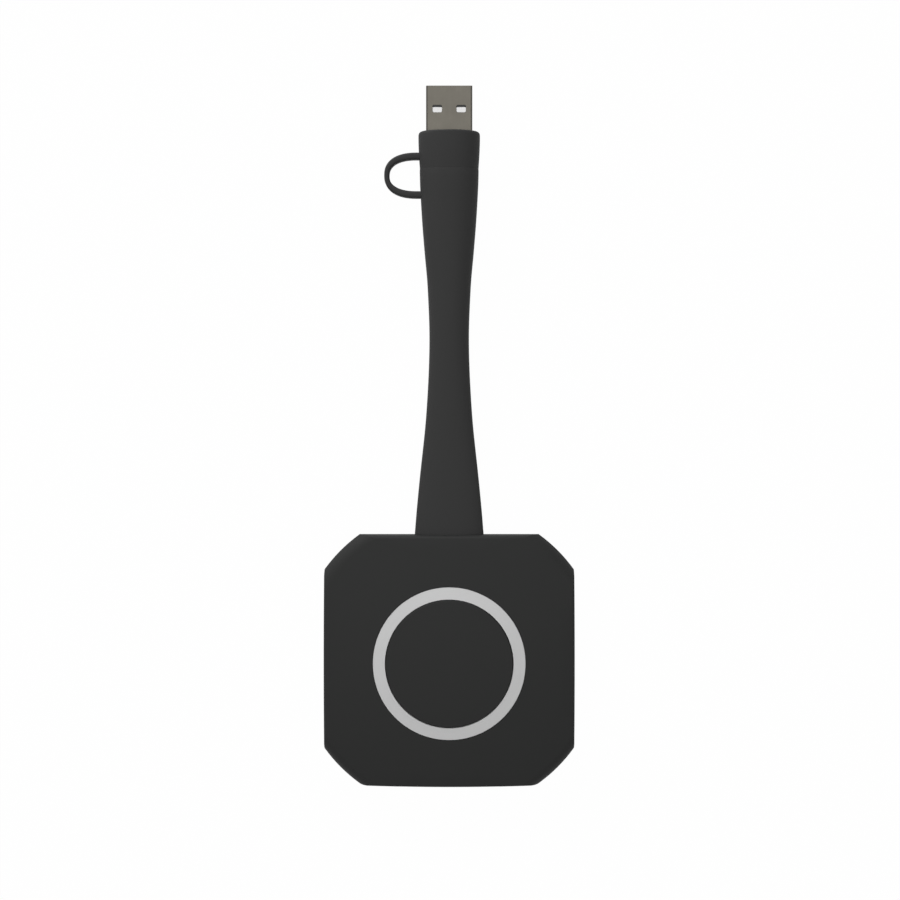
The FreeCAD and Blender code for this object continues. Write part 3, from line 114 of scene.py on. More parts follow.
def close_edit() -> None:
    """Leave edit mode."""
    bpy.ops.object.mode_set(mode="OBJECT")


def settle(obj: bpy.types.Object, name: str, smooth_angle: float = SMOOTH_ANGLE) -> bpy.types.Object:
    """Name a finished piece, turn its faces outwards and shade it.

    Args:
        obj: The piece.
        name: Its name.
        smooth_angle: Edges sharper than this many degrees stay sharp.

    Returns:
        The same piece.
    """
    edit(obj)
    bpy.ops.mesh.normals_make_consistent(inside=False)
    close_edit()
    bpy.ops.object.shade_smooth_by_angle(angle=math.radians(smooth_angle))
    obj.name = name
    obj.data.name = name
    return obj


def dress(obj: bpy.types.Object, material: bpy.types.Material) -> None:
    """Put one material on every slot of a piece.

    Args:
        obj: The piece or CAD node.
        material: What it is made of.
    """
    if not obj.material_slots:
        obj.data.materials.append(material)
    for slot in obj.material_slots:
        slot.material = material


@dataclass
class Wiring:
    """One shader tree, with short ways to add nodes and links to it."""

    tree: bpy.types.NodeTree

    def add(self, kind: str, inputs: dict | None = None) -> Node:
        """Add a node and set some of its inputs.

        Args:
            kind: The node's type.
            inputs: Values by the input's name, or by its number where names repeat.

        Returns:
            The node.
        """
        node = self.tree.nodes.new(kind)
        for label, value in (inputs or {}).items():
            node.inputs[label].default_value = value
        return node

    def maths(self, operation: str, inputs: dict | None = None) -> Node:
        """Add a maths node.

        Args:
            operation: What it does.
            inputs: Values by the input's number.

        Returns:
            The node.
        """
        node = self.add("ShaderNodeMath", inputs)
        node.operation = operation
        return node

    def link(self, output: Socket, node: Node, label: str | int) -> None:
        """Lead an output to an input.

        Args:
            output: Where the value comes from.
            node: The node that takes it.
            label: The input's name or number.
        """
        self.tree.links.new(output, node.inputs[label])

    def group(self, tree: bpy.types.NodeTree, place: Socket, scale: float) -> Socket:
        """Add a shared group with its own scale.

        Args:
            tree: The group.
            place: Where its coordinates come from.
            scale: Its Scale input.

        Returns:
            What the group puts out.
        """
        node = self.add("ShaderNodeGroup")
        node.node_tree = tree
        node.inputs["Scale"].default_value = scale
        self.link(place, node, "Vector")
        return node.outputs[0]

    def ray_mask(self, kinds: tuple[str, ...]) -> Socket:
        """Tell rays of some kinds from all others.

        Args:
            kinds: The kinds of ray.

        Returns:
            A mask that is 1 for these rays.
        """
        rays = self.add("ShaderNodeLightPath")
        mask = rays.outputs[f"Is {kinds[0]} Ray"]
        for kind in kinds[1:]:
            either = self.maths("MAXIMUM")
            self.link(mask, either, 0)
            self.link(rays.outputs[f"Is {kind} Ray"], either, 1)
            mask = either.outputs["Value"]
        return mask

    def mix_shaders(self, mask: Socket, low: Socket, high: Socket, end: Node) -> None:
        """Lead a mix of two shaders to the tree's surface.

        Args:
            mask: The share of the second shader.
            low: The first shader, shown where the mask is 0.
            high: The second shader, shown where the mask is 1.
            end: The tree's output node.
        """
        mix = self.add("ShaderNodeMixShader")
        for label, output in enumerate((mask, low, high)):
            self.link(output, mix, label)
        self.link(mix.outputs["Shader"], end, "Surface")


class NodeGroups:
    """The shader node groups that several finishes share. Each takes a Vector and a Scale."""

    dust_detail: float = 3.0
    dust_share: float = 0.5
    cloud_detail: float = 4.0
    cloud_roughness: float = 0.55
    cloud_range: tuple[float, float] = (0.3, 0.7)
    hair_detail: float = 2.0
    hair_range: tuple[float, float] = (0.56, 0.72)

    def __init__(self) -> None:
        """Build each group once."""
        self.grain = self._grain()
        self.mottle = self._mottle()
        self.scratches = self._scratches()

    @staticmethod
    def _new(name: str, output: str) -> tuple[Wiring, Node, Node]:
        """Start a node group with its sockets.

        Args:
            name: The group's name.
            output: What it puts out.

        Returns:
            Its wiring, its input node and its output node.
        """
        wires = Wiring(bpy.data.node_groups.new(name, "ShaderNodeTree"))
        sockets = wires.tree.interface
        vector = sockets.new_socket(name="Vector", in_out="INPUT", socket_type="NodeSocketVector")
        vector.hide_value = True
        for label, way in (("Scale", "INPUT"), (output, "OUTPUT")):
            sockets.new_socket(name=label, in_out=way, socket_type="NodeSocketFloat")
        return wires, wires.add("NodeGroupInput"), wires.add("NodeGroupOutput")

    @staticmethod
    def _texture(wires: Wiring, start: Node, kind: str, inputs: dict | None = None) -> Node:
        """Add a texture that takes the group's Vector and Scale.

        Args:
            wires: The group's wiring.
            start: Its input node.
            kind: The texture's node type.
            inputs: Values of the texture's other inputs.

        Returns:
            The texture node.
        """
        texture = wires.add(kind, inputs)
        for label in ("Vector", "Scale"):
            wires.link(start.outputs[label], texture, label)
        return texture

    @staticmethod
    def _spread(wires: Wiring, value: Socket, limits: tuple[float, float]) -> Socket:
        """Spread the part of a value between two limits over 0 to 1.

        Args:
            wires: The group's wiring.
            value: The value.
            limits: What becomes 0 and what becomes 1.

        Returns:
            The spread value.
        """
        spread = wires.add("ShaderNodeMapRange", dict(zip(("From Min", "From Max"), limits)))
        wires.link(value, spread, "Value")
        return spread.outputs["Result"]

    def _grain(self) -> bpy.types.NodeTree:
        """Fine spark-eroded grain: small rounded pits and dust between them.

        Returns:
            A group that puts out a Height from 0 to 1.
        """
        wires, start, end = self._new("fine_grain", "Height")
        pits = self._texture(wires, start, "ShaderNodeTexVoronoi")
        pits.feature = "SMOOTH_F1"
        dust = self._texture(wires, start, "ShaderNodeTexNoise", {"Detail": self.dust_detail})
        blend = wires.add("ShaderNodeMix", {"Factor": self.dust_share})
        wires.link(pits.outputs["Distance"], blend, "A")
        wires.link(dust.outputs["Fac"], blend, "B")
        wires.link(blend.outputs["Result"], end, "Height")
        return wires.tree

    def _mottle(self) -> bpy.types.NodeTree:
        """Slow drift in tone, as between batches of pigment.

        Returns:
            A group that puts out a Mask from 0 to 1.
        """
        wires, start, end = self._new("slow_mottle", "Mask")
        inputs = {"Detail": self.cloud_detail, "Roughness": self.cloud_roughness}
        cloud = self._texture(wires, start, "ShaderNodeTexNoise", inputs)
        wires.link(self._spread(wires, cloud.outputs["Fac"], self.cloud_range), end, "Mask")
        return wires.tree

    def _scratches(self) -> bpy.types.NodeTree:
        """Sparse hairlines, along the peaks of a stretched noise.

        Returns:
            A group that puts out a Mask from 0 to 1.
        """
        wires, start, end = self._new("hairlines", "Mask")
        hairs = self._texture(wires, start, "ShaderNodeTexNoise", {"Detail": self.hair_detail})
        wires.link(self._spread(wires, hairs.outputs["Fac"], self.hair_range), end, "Mask")
        return wires.tree


@dataclass(frozen=True)
class Finish:
    """One finish: its colour, how it drifts, the size and depth of its surface marks, and a band of
    painted shade where it has one.

    The scales are about how many marks come to the metre. Depths and places are in millimetres.
    """

    name: str
    colour: Colour
    drift: Colour
    roughness: float
    roughness_drift: float = 0.05
    metallic: float = 0.0
    specular: float = 0.2
    mottle_scale: float = 60.0
    grain_scale: float = 3000.0
    grain_depth: float = 0.004
    hairlines: float = 0.0
    lay: Lay = Lay.EVEN
    coat: float = 0.0
    # Painted shade: a dark band across Y, its middle and half width in millimetres, and its colour.
    painted_shade_middle_y: float = 0.0
    painted_shade_half: float = 0.0
    shade: Colour = (0.055, 0.055, 0.055)

    def material(self, groups: NodeGroups) -> bpy.types.Material:
        """Build the finish as a node material.

        Args:
            groups: The shared node groups.

        Returns:
            The material.
        """
        material = bpy.data.materials.new(self.name)
        material.use_nodes = True
        wires = Wiring(material.node_tree)
        shader = material.node_tree.nodes["Principled BSDF"]
        shader.inputs["Metallic"].default_value = self.metallic
        shader.inputs["Specular IOR Level"].default_value = self.specular
        shader.inputs["Coat Weight"].default_value = self.coat
        place = wires.add("ShaderNodeTexCoord").outputs["Object"]
        stretch = wires.add("ShaderNodeMapping", {"Scale": self.lay.value})
        wires.link(place, stretch, "Vector")
        marks = stretch.outputs["Vector"]

        mask = wires.group(groups.mottle, place, self.mottle_scale)
        hairs = wires.group(groups.scratches, marks, self.grain_scale / HAIRLINE_SIZE)
        bump = wires.add("ShaderNodeBump", {"Strength": 1.0, "Distance": self.grain_depth * MM})
        wires.link(wires.group(groups.grain, marks, self.grain_scale), bump, "Height")
        wires.link(self._tone(wires, place, mask), shader, "Base Color")
        wires.link(self._gloss(wires, mask, hairs), shader, "Roughness")
        wires.link(bump.outputs["Normal"], shader, "Normal")
        return material

    def _tone(self, wires: Wiring, place: Socket, mask: Socket) -> Socket:
        """The colour with its slow drift, with painted shade in a dark band where the finish has one.

        Args:
            wires: The material's wiring.
            place: Where on the object it is.
            mask: The slow drift.

        Returns:
            The colour.
        """
        tone = wires.add("ShaderNodeMix")
        tone.data_type = "RGBA"
        tone.inputs["A"].default_value = (*self.colour, 1.0)
        tone.inputs["B"].default_value = (*self.drift, 1.0)
        wires.link(mask, tone, "Factor")
        if not self.painted_shade_half:
            return tone.outputs["Result"]
        return self._painted_gap_shade(wires, place, tone.outputs["Result"])

    def _painted_gap_shade(self, wires: Wiring, place: Socket, colour: Socket) -> Socket:
        """Paint a dark band across Y: painted shade for the gap at the tip side of the barbs, which no
        light reaches.

        Args:
            wires: The material's wiring.
            place: Where on the object it is.
            colour: The colour outside the band.

        Returns:
            The colour to use.
        """
        split = wires.add("ShaderNodeSeparateXYZ")
        band = wires.maths("COMPARE", {1: self.painted_shade_middle_y * MM, 2: self.painted_shade_half * MM})
        mix = wires.add("ShaderNodeMix")
        mix.data_type = "RGBA"
        mix.inputs["B"].default_value = (*self.shade, 1.0)
        wires.link(place, split, "Vector")
        wires.link(split.outputs["Y"], band, 0)
        wires.link(band.outputs["Value"], mix, "Factor")
        wires.link(colour, mix, "A")
        return mix.outputs["Result"]

    def _gloss(self, wires: Wiring, mask: Socket, hairs: Socket) -> Socket:
        """The roughness with its slow drift, smoother along the hairlines.

        Args:
            wires: The material's wiring.
            mask: The slow drift.
            hairs: The hairlines.

        Returns:
            The roughness.
        """
        rough = wires.maths("MULTIPLY_ADD", {1: self.roughness_drift, 2: self.roughness})
        worn = wires.maths("MULTIPLY_ADD", {1: -self.hairlines})
        wires.link(mask, rough, 0)
        wires.link(hairs, worn, 0)
        wires.link(rough.outputs["Value"], worn, 2)
        return worn.outputs["Value"]


SHELL = Finish(
    name="charcoal_moulding",
    colour=(0.0205, 0.0208, 0.0204),
    drift=(0.0214, 0.0219, 0.0215),
    roughness=0.62,
    specular=0.14,
    mottle_scale=45.0,
    grain_scale=4200.0,
    grain_depth=0.006,
)
SOFT = Finish(
    name="charcoal_soft_touch",
    colour=(0.0288, 0.0289, 0.0288),
    drift=(0.0303, 0.0304, 0.0303),
    roughness=0.70,
    specular=0.2,
    mottle_scale=40.0,
    grain_scale=5000.0,
    grain_depth=0.004,
)
PAD = Finish(
    name="anti_slip_rubber",
    colour=(0.013, 0.013, 0.0135),
    drift=(0.018, 0.018, 0.0185),
    roughness=0.78,
    specular=0.12,
    mottle_scale=90.0,
    grain_scale=1600.0,
    grain_depth=0.03,
)
DIFFUSER = Finish(
    name="ring_diffuser",
    colour=(0.622, 0.622, 0.622),
    drift=(0.640, 0.640, 0.640),
    roughness=0.42,
    specular=0.2,
    mottle_scale=80.0,
    grain_scale=2500.0,
    grain_depth=0.002,
)
WHITE_PLASTIC = Finish(
    name="white_plug_plastic",
    colour=(0.93, 0.93, 0.92),
    drift=(0.89, 0.89, 0.88),
    roughness=0.45,
    mottle_scale=300.0,
    grain_depth=0.002,
)
PLUG_WHITE = Finish(
    name="white_plug_insulator",
    colour=(0.95, 0.95, 0.95),
    drift=(0.92, 0.92, 0.92),
    roughness=0.45,
    mottle_scale=300.0,
    grain_depth=0.002,
    # Painted shade in the gap at the tip side of each barb, seen through the shell's windows.
    painted_shade_middle_y=143.76,
    painted_shade_half=0.29,
)
NICKEL = Finish(
    name="nickel_plating",
    colour=(0.0805, 0.0754, 0.0644),
    drift=(0.0788, 0.0736, 0.0630),
    roughness=0.40,
    roughness_drift=0.04,
    metallic=1.0,
    specular=0.5,
    mottle_scale=220.0,
    grain_scale=6000.0,
    grain_depth=0.0012,
    hairlines=0.02,
    lay=Lay.ALONG_PLUG,
)
TINNED = Finish(
    name="tinned_sheet",
    colour=(0.60, 0.60, 0.59),
    drift=(0.52, 0.52, 0.51),
    roughness=0.38,
    metallic=1.0,
    specular=0.5,
    mottle_scale=400.0,
    grain_depth=0.002,
    hairlines=0.12,
    lay=Lay.ACROSS_CAN,
)
ALUMINIUM = Finish(
    name="rolled_aluminium",
    colour=(0.76, 0.76, 0.77),
    drift=(0.68, 0.68, 0.69),
    roughness=0.34,
    metallic=1.0,
    specular=0.5,
    mottle_scale=150.0,
    grain_depth=0.002,
    hairlines=0.15,
    lay=Lay.ACROSS_CAN,
)
ZINC = Finish(
    name="zinc_screw",
    colour=(0.42, 0.42, 0.43),
    drift=(0.34, 0.34, 0.36),
    roughness=0.35,
    metallic=1.0,
    specular=0.5,
    mottle_scale=700.0,
    grain_depth=0.002,
)
GOLD = Finish(
    name="gold_plating",
    colour=(0.80, 0.57, 0.23),
    drift=(0.72, 0.50, 0.19),
    roughness=0.26,
    metallic=1.0,
    specular=0.5,
    mottle_scale=500.0,
    grain_depth=0.001,
    hairlines=0.1,
    lay=Lay.ALONG_PLUG,
)
BLACK_PLASTIC = Finish(
    name="black_connector_plastic",
    colour=(0.012, 0.012, 0.013),
    drift=(0.018, 0.018, 0.019),
    roughness=0.5,
    mottle_scale=250.0,
    grain_depth=0.003,
)
BEIGE_PLASTIC = Finish(
    name="beige_connector_plastic",
    colour=(0.68, 0.61, 0.46),
    drift=(0.62, 0.55, 0.41),
    roughness=0.5,
    mottle_scale=250.0,
    grain_depth=0.002,
)
SOLDER_MASK = Finish(
    name="green_solder_mask",
    colour=(0.010, 0.075, 0.035),
    drift=(0.016, 0.105, 0.050),
    roughness=0.35,
    mottle_scale=900.0,
    grain_depth=0.004,
    coat=0.4,
)
EPOXY = Finish(
    name="chip_epoxy",
    colour=(0.017, 0.017, 0.018),
    drift=(0.024, 0.024, 0.025),
    roughness=0.55,
    mottle_scale=500.0,
    grain_scale=5200.0,
    grain_depth=0.004,
)
CERAMIC = Finish(
    name="fired_ceramic",
    colour=(0.44, 0.32, 0.19),
    drift=(0.36, 0.25, 0.14),
    roughness=0.5,
    mottle_scale=900.0,
    grain_depth=0.003,
)
THERMAL = Finish(
    name="thermal_pad_grey",
    colour=(0.28, 0.31, 0.34),
    drift=(0.36, 0.39, 0.42),
    roughness=0.8,
    mottle_scale=1200.0,
    grain_scale=2000.0,
    grain_depth=0.02,
)
LED_LENS = Finish(
    name="led_lens",
    colour=(0.86, 0.82, 0.55),
    drift=(0.90, 0.88, 0.78),
    roughness=0.25,
    mottle_scale=1500.0,
    grain_depth=0.001,
    coat=0.5,
)
SILICONE = Finish(
    name="milky_silicone",
    colour=(0.66, 0.67, 0.68),
    drift=(0.72, 0.73, 0.74),
    roughness=0.45,
    mottle_scale=200.0,
    grain_depth=0.003,
)
SHEATH = Finish(
    name="cable_sheath",
    colour=(0.018, 0.018, 0.019),
    drift=(0.025, 0.025, 0.026),
    roughness=0.55,
    mottle_scale=120.0,
    grain_depth=0.004,
)
WIRE = Finish(
    name="wire_insulation",
    colour=(0.42, 0.035, 0.03),
    drift=(0.50, 0.05, 0.04),
    roughness=0.45,
    mottle_scale=300.0,
    grain_depth=0.002,
)

CAD_FINISHES: dict[str, Finish] = {
    "front_cover": SHELL,
    "rear_cover": SHELL,
    "button_cap": SHELL,
    "rear_pad": PAD,
    "light_ring": DIFFUSER,
    "light_reflector": WHITE_PLASTIC,
    "ring_leds": LED_LENS,
    "cover_screws": ZINC,
    "button_return_pad": SILICONE,
    "switch_body": BLACK_PLASTIC,
    "switch_stem": BEIGE_PLASTIC,
    "button_board": SOLDER_MASK,
    "board_plug": BLACK_PLASTIC,
    "board_socket": BLACK_PLASTIC,
    "main_board": SOLDER_MASK,
    "processor": EPOXY,
    "gap_pad": THERMAL,
    "memory_chips": EPOXY,
    "processor_shield": TINNED,
    "heat_spreader": ALUMINIUM,
    "thermal_pad": THERMAL,
    "wifi_module": SOLDER_MASK,
    "wifi_shield": TINNED,
    "antennas": CERAMIC,
    "power_inductors": EPOXY,
    "capacitors": CERAMIC,
    "crystal": TINNED,
    "flash_chip": EPOXY,
    "cable_socket": BEIGE_PLASTIC,
    "cable_plug": BEIGE_PLASTIC,
    "cable_wires": WIRE,
    "data_cable": SHEATH,
    "arm_overmould": SOFT,
    "plug_inner_mould": BLACK_PLASTIC,
    "plug_board": SOLDER_MASK,
    "usb_c_plug_shell": NICKEL,
    "usb_c_plug_insulator": BLACK_PLASTIC,
    "usb_c_plug_contacts": GOLD,
    "adapter_collar": SOFT,
    "adapter_core": BLACK_PLASTIC,
    "usb_c_socket_shell": NICKEL,
    "usb_c_socket_tongue": BLACK_PLASTIC,
    "usb_c_socket_contacts": GOLD,
    "adapter_board": SOLDER_MASK,
    "usb_a_shell": NICKEL,
    "usb_a_insulator": PLUG_WHITE,
    "usb_a_contacts": GOLD,
    "tether": SOFT,
}


@dataclass
class FrontSkin:
    """The front cover with its outer edges rounded as they leave the mould.

    The CAD cover runs straight down to the rim at its corners and has small chamfers at its flats. Here
    the dome leaves for the rim in one round, and each flat ends in a small one.
    """

    half_width: float = 32.5
    rim_radius: float = 40.0
    face_top_z: float = 11.6
    dome_radius: float = 230.0
    flat_radius: float = 0.9
    flat_steps: int = 5
    rim_slope: float = 72.0
    rim_cuts: int = 3
    run_slope: float = 35.0
    run_from: float = 35.0
    skin_depth: float = 0.45
    least_rise: float = 0.5
    merge_gap: float = 0.002
    parting_gap: float = 0.01
    smooth_angle: float = 32.0

    def build(self) -> bpy.types.Object:
        """Cut a merged copy of the cover near its edges and set its outside on the rounded form.

        Returns:
            The skin.
        """
        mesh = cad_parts["front_cover"].data.copy()
        skin = bpy.data.objects.new("front_skin", mesh)
        bpy.context.scene.collection.objects.link(skin)
        edit(skin)
        bpy.ops.mesh.remove_doubles(threshold=self.merge_gap * MM)
        bpy.ops.mesh.customdata_custom_splitnormals_clear()
        self.cut_flats()
        self.cut_rim(skin)
        close_edit()
        for vertex in skin.data.vertices:
            x, y, z = vertex.co / MM
            if z > PARTING_Z + self.parting_gap and self.on_skin(x, y, z):
                vertex.co.z = self.height(x, y) * MM
        bpy.ops.object.shade_smooth_by_angle(angle=math.radians(self.smooth_angle))
        return skin

    def cut_flats(self) -> None:
        """Cut the open mesh along each flat where the round's facets meet."""
        start = math.asin(self.inset() / self.dome_radius)
        for step in range(self.flat_steps):
            angle = start + (math.pi / 2 - start) * step / self.flat_steps
            reach = (self.inset() + self.flat_radius * math.sin(angle)) * MM
            for way in ((1.0, 0.0, 0.0), (-1.0, 0.0, 0.0), (0.0, 1.0, 0.0), (0.0, -1.0, 0.0)):
                bpy.ops.mesh.select_all(action="SELECT")
                bpy.ops.mesh.bisect(plane_co=Vector(way) * reach, plane_no=way)

    def cut_rim(self, skin: bpy.types.Object) -> None:
        """Subdivide the run down to the rim at the four corners.

        Args:
            skin: The skin in edit mode.
        """
        bpy.ops.mesh.select_all(action="DESELECT")
        mesh = bmesh.from_edit_mesh(skin.data)
        mesh.normal_update()
        mesh.select_mode = {"FACE"}
        for face in mesh.faces:
            centre = face.calc_center_median() / MM
            out = math.hypot(centre.x, centre.y) > self.run_from
            face.select_set(out and face.normal.z > self.least_rise and self.on_skin(*centre))
        bmesh.update_edit_mesh(skin.data)
        bpy.ops.mesh.subdivide(number_cuts=self.rim_cuts)

    def on_skin(self, x: float, y: float, z: float) -> bool:
        """Tell whether a point lies on the outside, near enough to an edge to be rounded.

        Args:
            x: Place along X.
            y: Place along Y.
            z: Height.

        Returns:
            True for a point of the edges' outside.
        """
        near = math.hypot(x, y) > self.run_from or max(abs(x), abs(y)) > self.inset() - self.skin_depth
        return near and z > self.old_height(x, y) - self.skin_depth

    def inset(self) -> float:
        """How far out the middle of the flats' round lies.

        Returns:
            The distance from the puck's middle plane.
        """
        return self.half_width - self.flat_radius

    def dome_centre(self) -> float:
        """Height of the dome's centre, far below the puck.

        Returns:
            The height.
        """
        return self.face_top_z - self.dome_radius

    def old_height(self, x: float, y: float) -> float:
        """Height of the cover's outside with plain edges.

        Args:
            x: Place along X.
            y: Place along Y.

        Returns:
            The height.
        """
        radius = min(math.hypot(x, y), self.rim_radius)
        dome = self.dome_centre() + math.sqrt(self.dome_radius**2 - radius**2)
        run = PARTING_Z + (self.rim_radius - radius) * math.tan(math.radians(self.run_slope))
        return min(dome, run)

    def height(self, x: float, y: float) -> float:
        """Height of the outside with the rounded rim and flats.

        Args:
            x: Place along X.
            y: Place along Y.

        Returns:
            The height.
        """
        return min(self.rim_height(math.hypot(x, y)), self.flat_height(x, y), self.flat_height(y, x))

    def rim_height(self, radius: float) -> float:
        """Height of the dome and of the round that leaves it for the rim.

        Args:
            radius: Distance from the puck's middle.

        Returns:
            The height.
        """
        radius, slope = min(radius, self.rim_radius), math.radians(self.rim_slope)
        rise = PARTING_Z - self.dome_centre()
        along = self.rim_radius * math.sin(slope) + rise * math.cos(slope)
        size = (self.rim_radius**2 + rise**2 - self.dome_radius**2) / (2 * (along - self.dome_radius))
        middle = self.rim_radius - size * math.sin(slope)
        middle_z = PARTING_Z - size * math.cos(slope)
        if radius < middle + size * middle / self.dome_radius:
            return self.dome_centre() + math.sqrt(self.dome_radius**2 - radius**2)
        return middle_z + math.sqrt(size**2 - (radius - middle) ** 2)

    def flat_height(self, across: float, along: float) -> float:
        """Height of the dome and of the round that leaves it for one pair of flats.

        Args:
            across: Distance towards the flat.
            along: Distance along it.

        Returns:
            The height.
        """
        out = min(abs(across), self.half_width) - self.inset()
        reach = self.dome_radius - self.flat_radius
        line = math.sqrt(reach**2 - self.inset() ** 2) + math.sqrt(max(self.flat_radius**2 - out**2, 0.0))
        if out < self.flat_radius * self.inset() / self.dome_radius:
            line = math.sqrt(self.dome_radius**2 - across**2)
        return self.dome_centre() + math.sqrt(line**2 - along**2)


@dataclass
class OvalTube:
    """A tube along Y that is drawn out ring by ring from one slightly squared oval."""

    sides: int = 72
    squareness: float = 2.25
    last_ring: Station = (0.0, 1.0, 1.0)

    def start(self, y: float, half_width: float, half_thickness: float) -> bpy.types.Object:
        """Add the first ring and stay in edit mode with it selected.

        Args:
            y: Where the ring stands.
            half_width: Half its size along X.
            half_thickness: Half its size along Z.

        Returns:
            The new object.
        """
        deselect_everything()
        bpy.ops.mesh.primitive_circle_add(
            vertices=self.sides,
            radius=MM,
            fill_type="NOTHING",
            location=(0.0, y * MM, PARTING_Z * MM),
            rotation=(math.pi / 2, 0.0, 0.0),
        )
        obj = bpy.context.object
        bpy.ops.object.transform_apply(location=True, rotation=True, scale=True)
        self._square(obj)
        edit(obj)
        self.last_ring = (y, 1.0, 1.0)
        self._resize(half_width, half_thickness)
        return obj

    def _square(self, obj: bpy.types.Object) -> None:
        """Push the circle's vertices out to a squared oval.

        Args:
            obj: The circle.
        """
        power = 2.0 / self.squareness
        for vertex in obj.data.vertices:
            across, up = vertex.co.x / MM, vertex.co.z / MM - PARTING_Z
            vertex.co.x = math.copysign(abs(across) ** power, across) * MM
            vertex.co.z = (PARTING_Z + math.copysign(abs(up) ** power, up)) * MM

    def _resize(self, half_width: float, half_thickness: float) -> None:
        """Scale the selected ring to new half sizes.

        Args:
            half_width: Half its new size along X.
            half_thickness: Half its new size along Z.
        """
        y, old_width, old_thickness = self.last_ring
        bpy.ops.transform.resize(
            value=(half_width / old_width, 1.0, half_thickness / old_thickness),
            center_override=(0.0, y * MM, PARTING_Z * MM),
        )
        self.last_ring = (y, half_width, half_thickness)

    def draw_to(self, y: float, half_width: float, half_thickness: float) -> None:
        """Extrude the selected ring to the next one.

        Args:
            y: Where the next ring stands.
            half_width: Half its size along X.
            half_thickness: Half its size along Z.
        """
        old_y, old_width, old_thickness = self.last_ring
        bpy.ops.mesh.extrude_region_move(TRANSFORM_OT_translate={"value": (0.0, (y - old_y) * MM, 0.0)})
        self.last_ring = (y, old_width, old_thickness)
        self._resize(half_width, half_thickness)


def smooth_course(stations: list[Station], step: float) -> list[Station]:
    """Rings at even steps along a smooth curve through the stations.

    Args:
        stations: Y, half width and half thickness at each measured place.
        step: About how far apart the rings are.

    Returns:
        The rings, without the first station.
    """
    slopes = []
    for before, after in zip([stations[0], *stations], [*stations[1:], stations[-1]]):
        run = after[0] - before[0]
        slopes.append(((after[1] - before[1]) / run, (after[2] - before[2]) / run))
    rings = []
    for index, (a, b) in enumerate(zip(stations, stations[1:])):
        length = b[0] - a[0]
        count = max(1, round(length / step))
        for part in range(1, count + 1):
            t = part / count
            start = 2 * t**3 - 3 * t**2 + 1
            leaving = (t**3 - 2 * t**2 + t) * length
            end = 3 * t**2 - 2 * t**3
            coming = (t**3 - t**2) * length
            size = [
                start * a[axis]
                + leaving * slopes[index][axis - 1]
                + end * b[axis]
                + coming * slopes[index + 1][axis - 1]
                for axis in (1, 2)
            ]
            rings.append((a[0] + t * length, size[0], size[1]))
    return rings


@dataclass
class FlexibleArm:
    """The soft arm from the puck to the seam, with the flange that the covers trap."""

    foot_y: float = 32.5
    seam_y: float = 127.655
    neck_back_y: float = 30.78
    flange_back_y: float = 28.78
    flange_half_width: float = 10.5
    flange_low_z: float = 2.2
    flange_high_z: float = 7.6
    edge: float = 0.1
    seam_run: float = 0.5
    seam_drop: float = 0.05
    mould_half_width: float = 5.4
    mould_half_thickness: float = 3.3
    mould_depth: float = 2.0
    ring_step: float = 2.0

    def stations(self) -> list[Station]:
        """The measured sections.

        Returns:
            Y, half width and half thickness of each.
        """
        offsets = [
            (0.0, 8.98, 1.9),
            (6.3, 8.47, 2.03),
            (14.5, 7.68, 2.22),
            (31.2, 5.98, 2.7),
            (49.5, 5.16, 3.3),
            (64.5, 5.64, 3.9),
            (73.0, 6.38, 4.36),
            (81.2, 7.04, 4.8),
            (91.0, 7.6, 5.18),
            (95.1, 7.69, 5.25),
        ]
        return [(self.foot_y + y, width, thickness) for y, width, thickness in offsets]

    def build(self) -> bpy.types.Object:
        """Draw the arm out of its neck and close it around the plug's inner mould.

        Returns:
            The arm.
        """
        tube = OvalTube()
        stations = self.stations()
        _, width, thickness = stations[0]
        arm = tube.start(self.neck_back_y, width, thickness)
        bpy.ops.mesh.edge_face_add()
        tube.draw_to(self.foot_y, width, thickness)
        rings = smooth_course(stations, self.ring_step)
        for ring in rings[:-1]:
            tube.draw_to(*ring)
        _, width, thickness = rings[-1]
        tube.draw_to(self.seam_y - self.seam_run, width, thickness)
        tube.draw_to(self.seam_y, width - self.seam_drop, thickness - self.seam_drop)
        tube.draw_to(self.seam_y, self.mould_half_width, self.mould_half_thickness)
        tube.draw_to(self.seam_y - self.mould_depth, self.mould_half_width, self.mould_half_thickness)
        close_edit()
        flange = self.flange()
        pick(arm)
        flange.select_set(True)
        bpy.ops.object.join()
        return settle(arm, "arm_skin")

    def flange(self) -> bpy.types.Object:
        """The block behind the covers' wall.

        Returns:
            The flange.
        """
        low = Vector((-self.flange_half_width, self.flange_back_y, self.flange_low_z)) * MM
        high = Vector((self.flange_half_width, self.neck_back_y, self.flange_high_z)) * MM
        deselect_everything()
        bpy.ops.mesh.primitive_cube_add(size=1.0, location=(low + high) / 2)
        block = bpy.context.object
        block.scale = high - low
        bpy.ops.object.transform_apply(location=True, rotation=True, scale=True)
        edit(block)
        bpy.ops.mesh.bevel(offset=self.edge * MM, segments=BEVEL_SEGMENTS, affect="EDGES")
        close_edit()
        return block


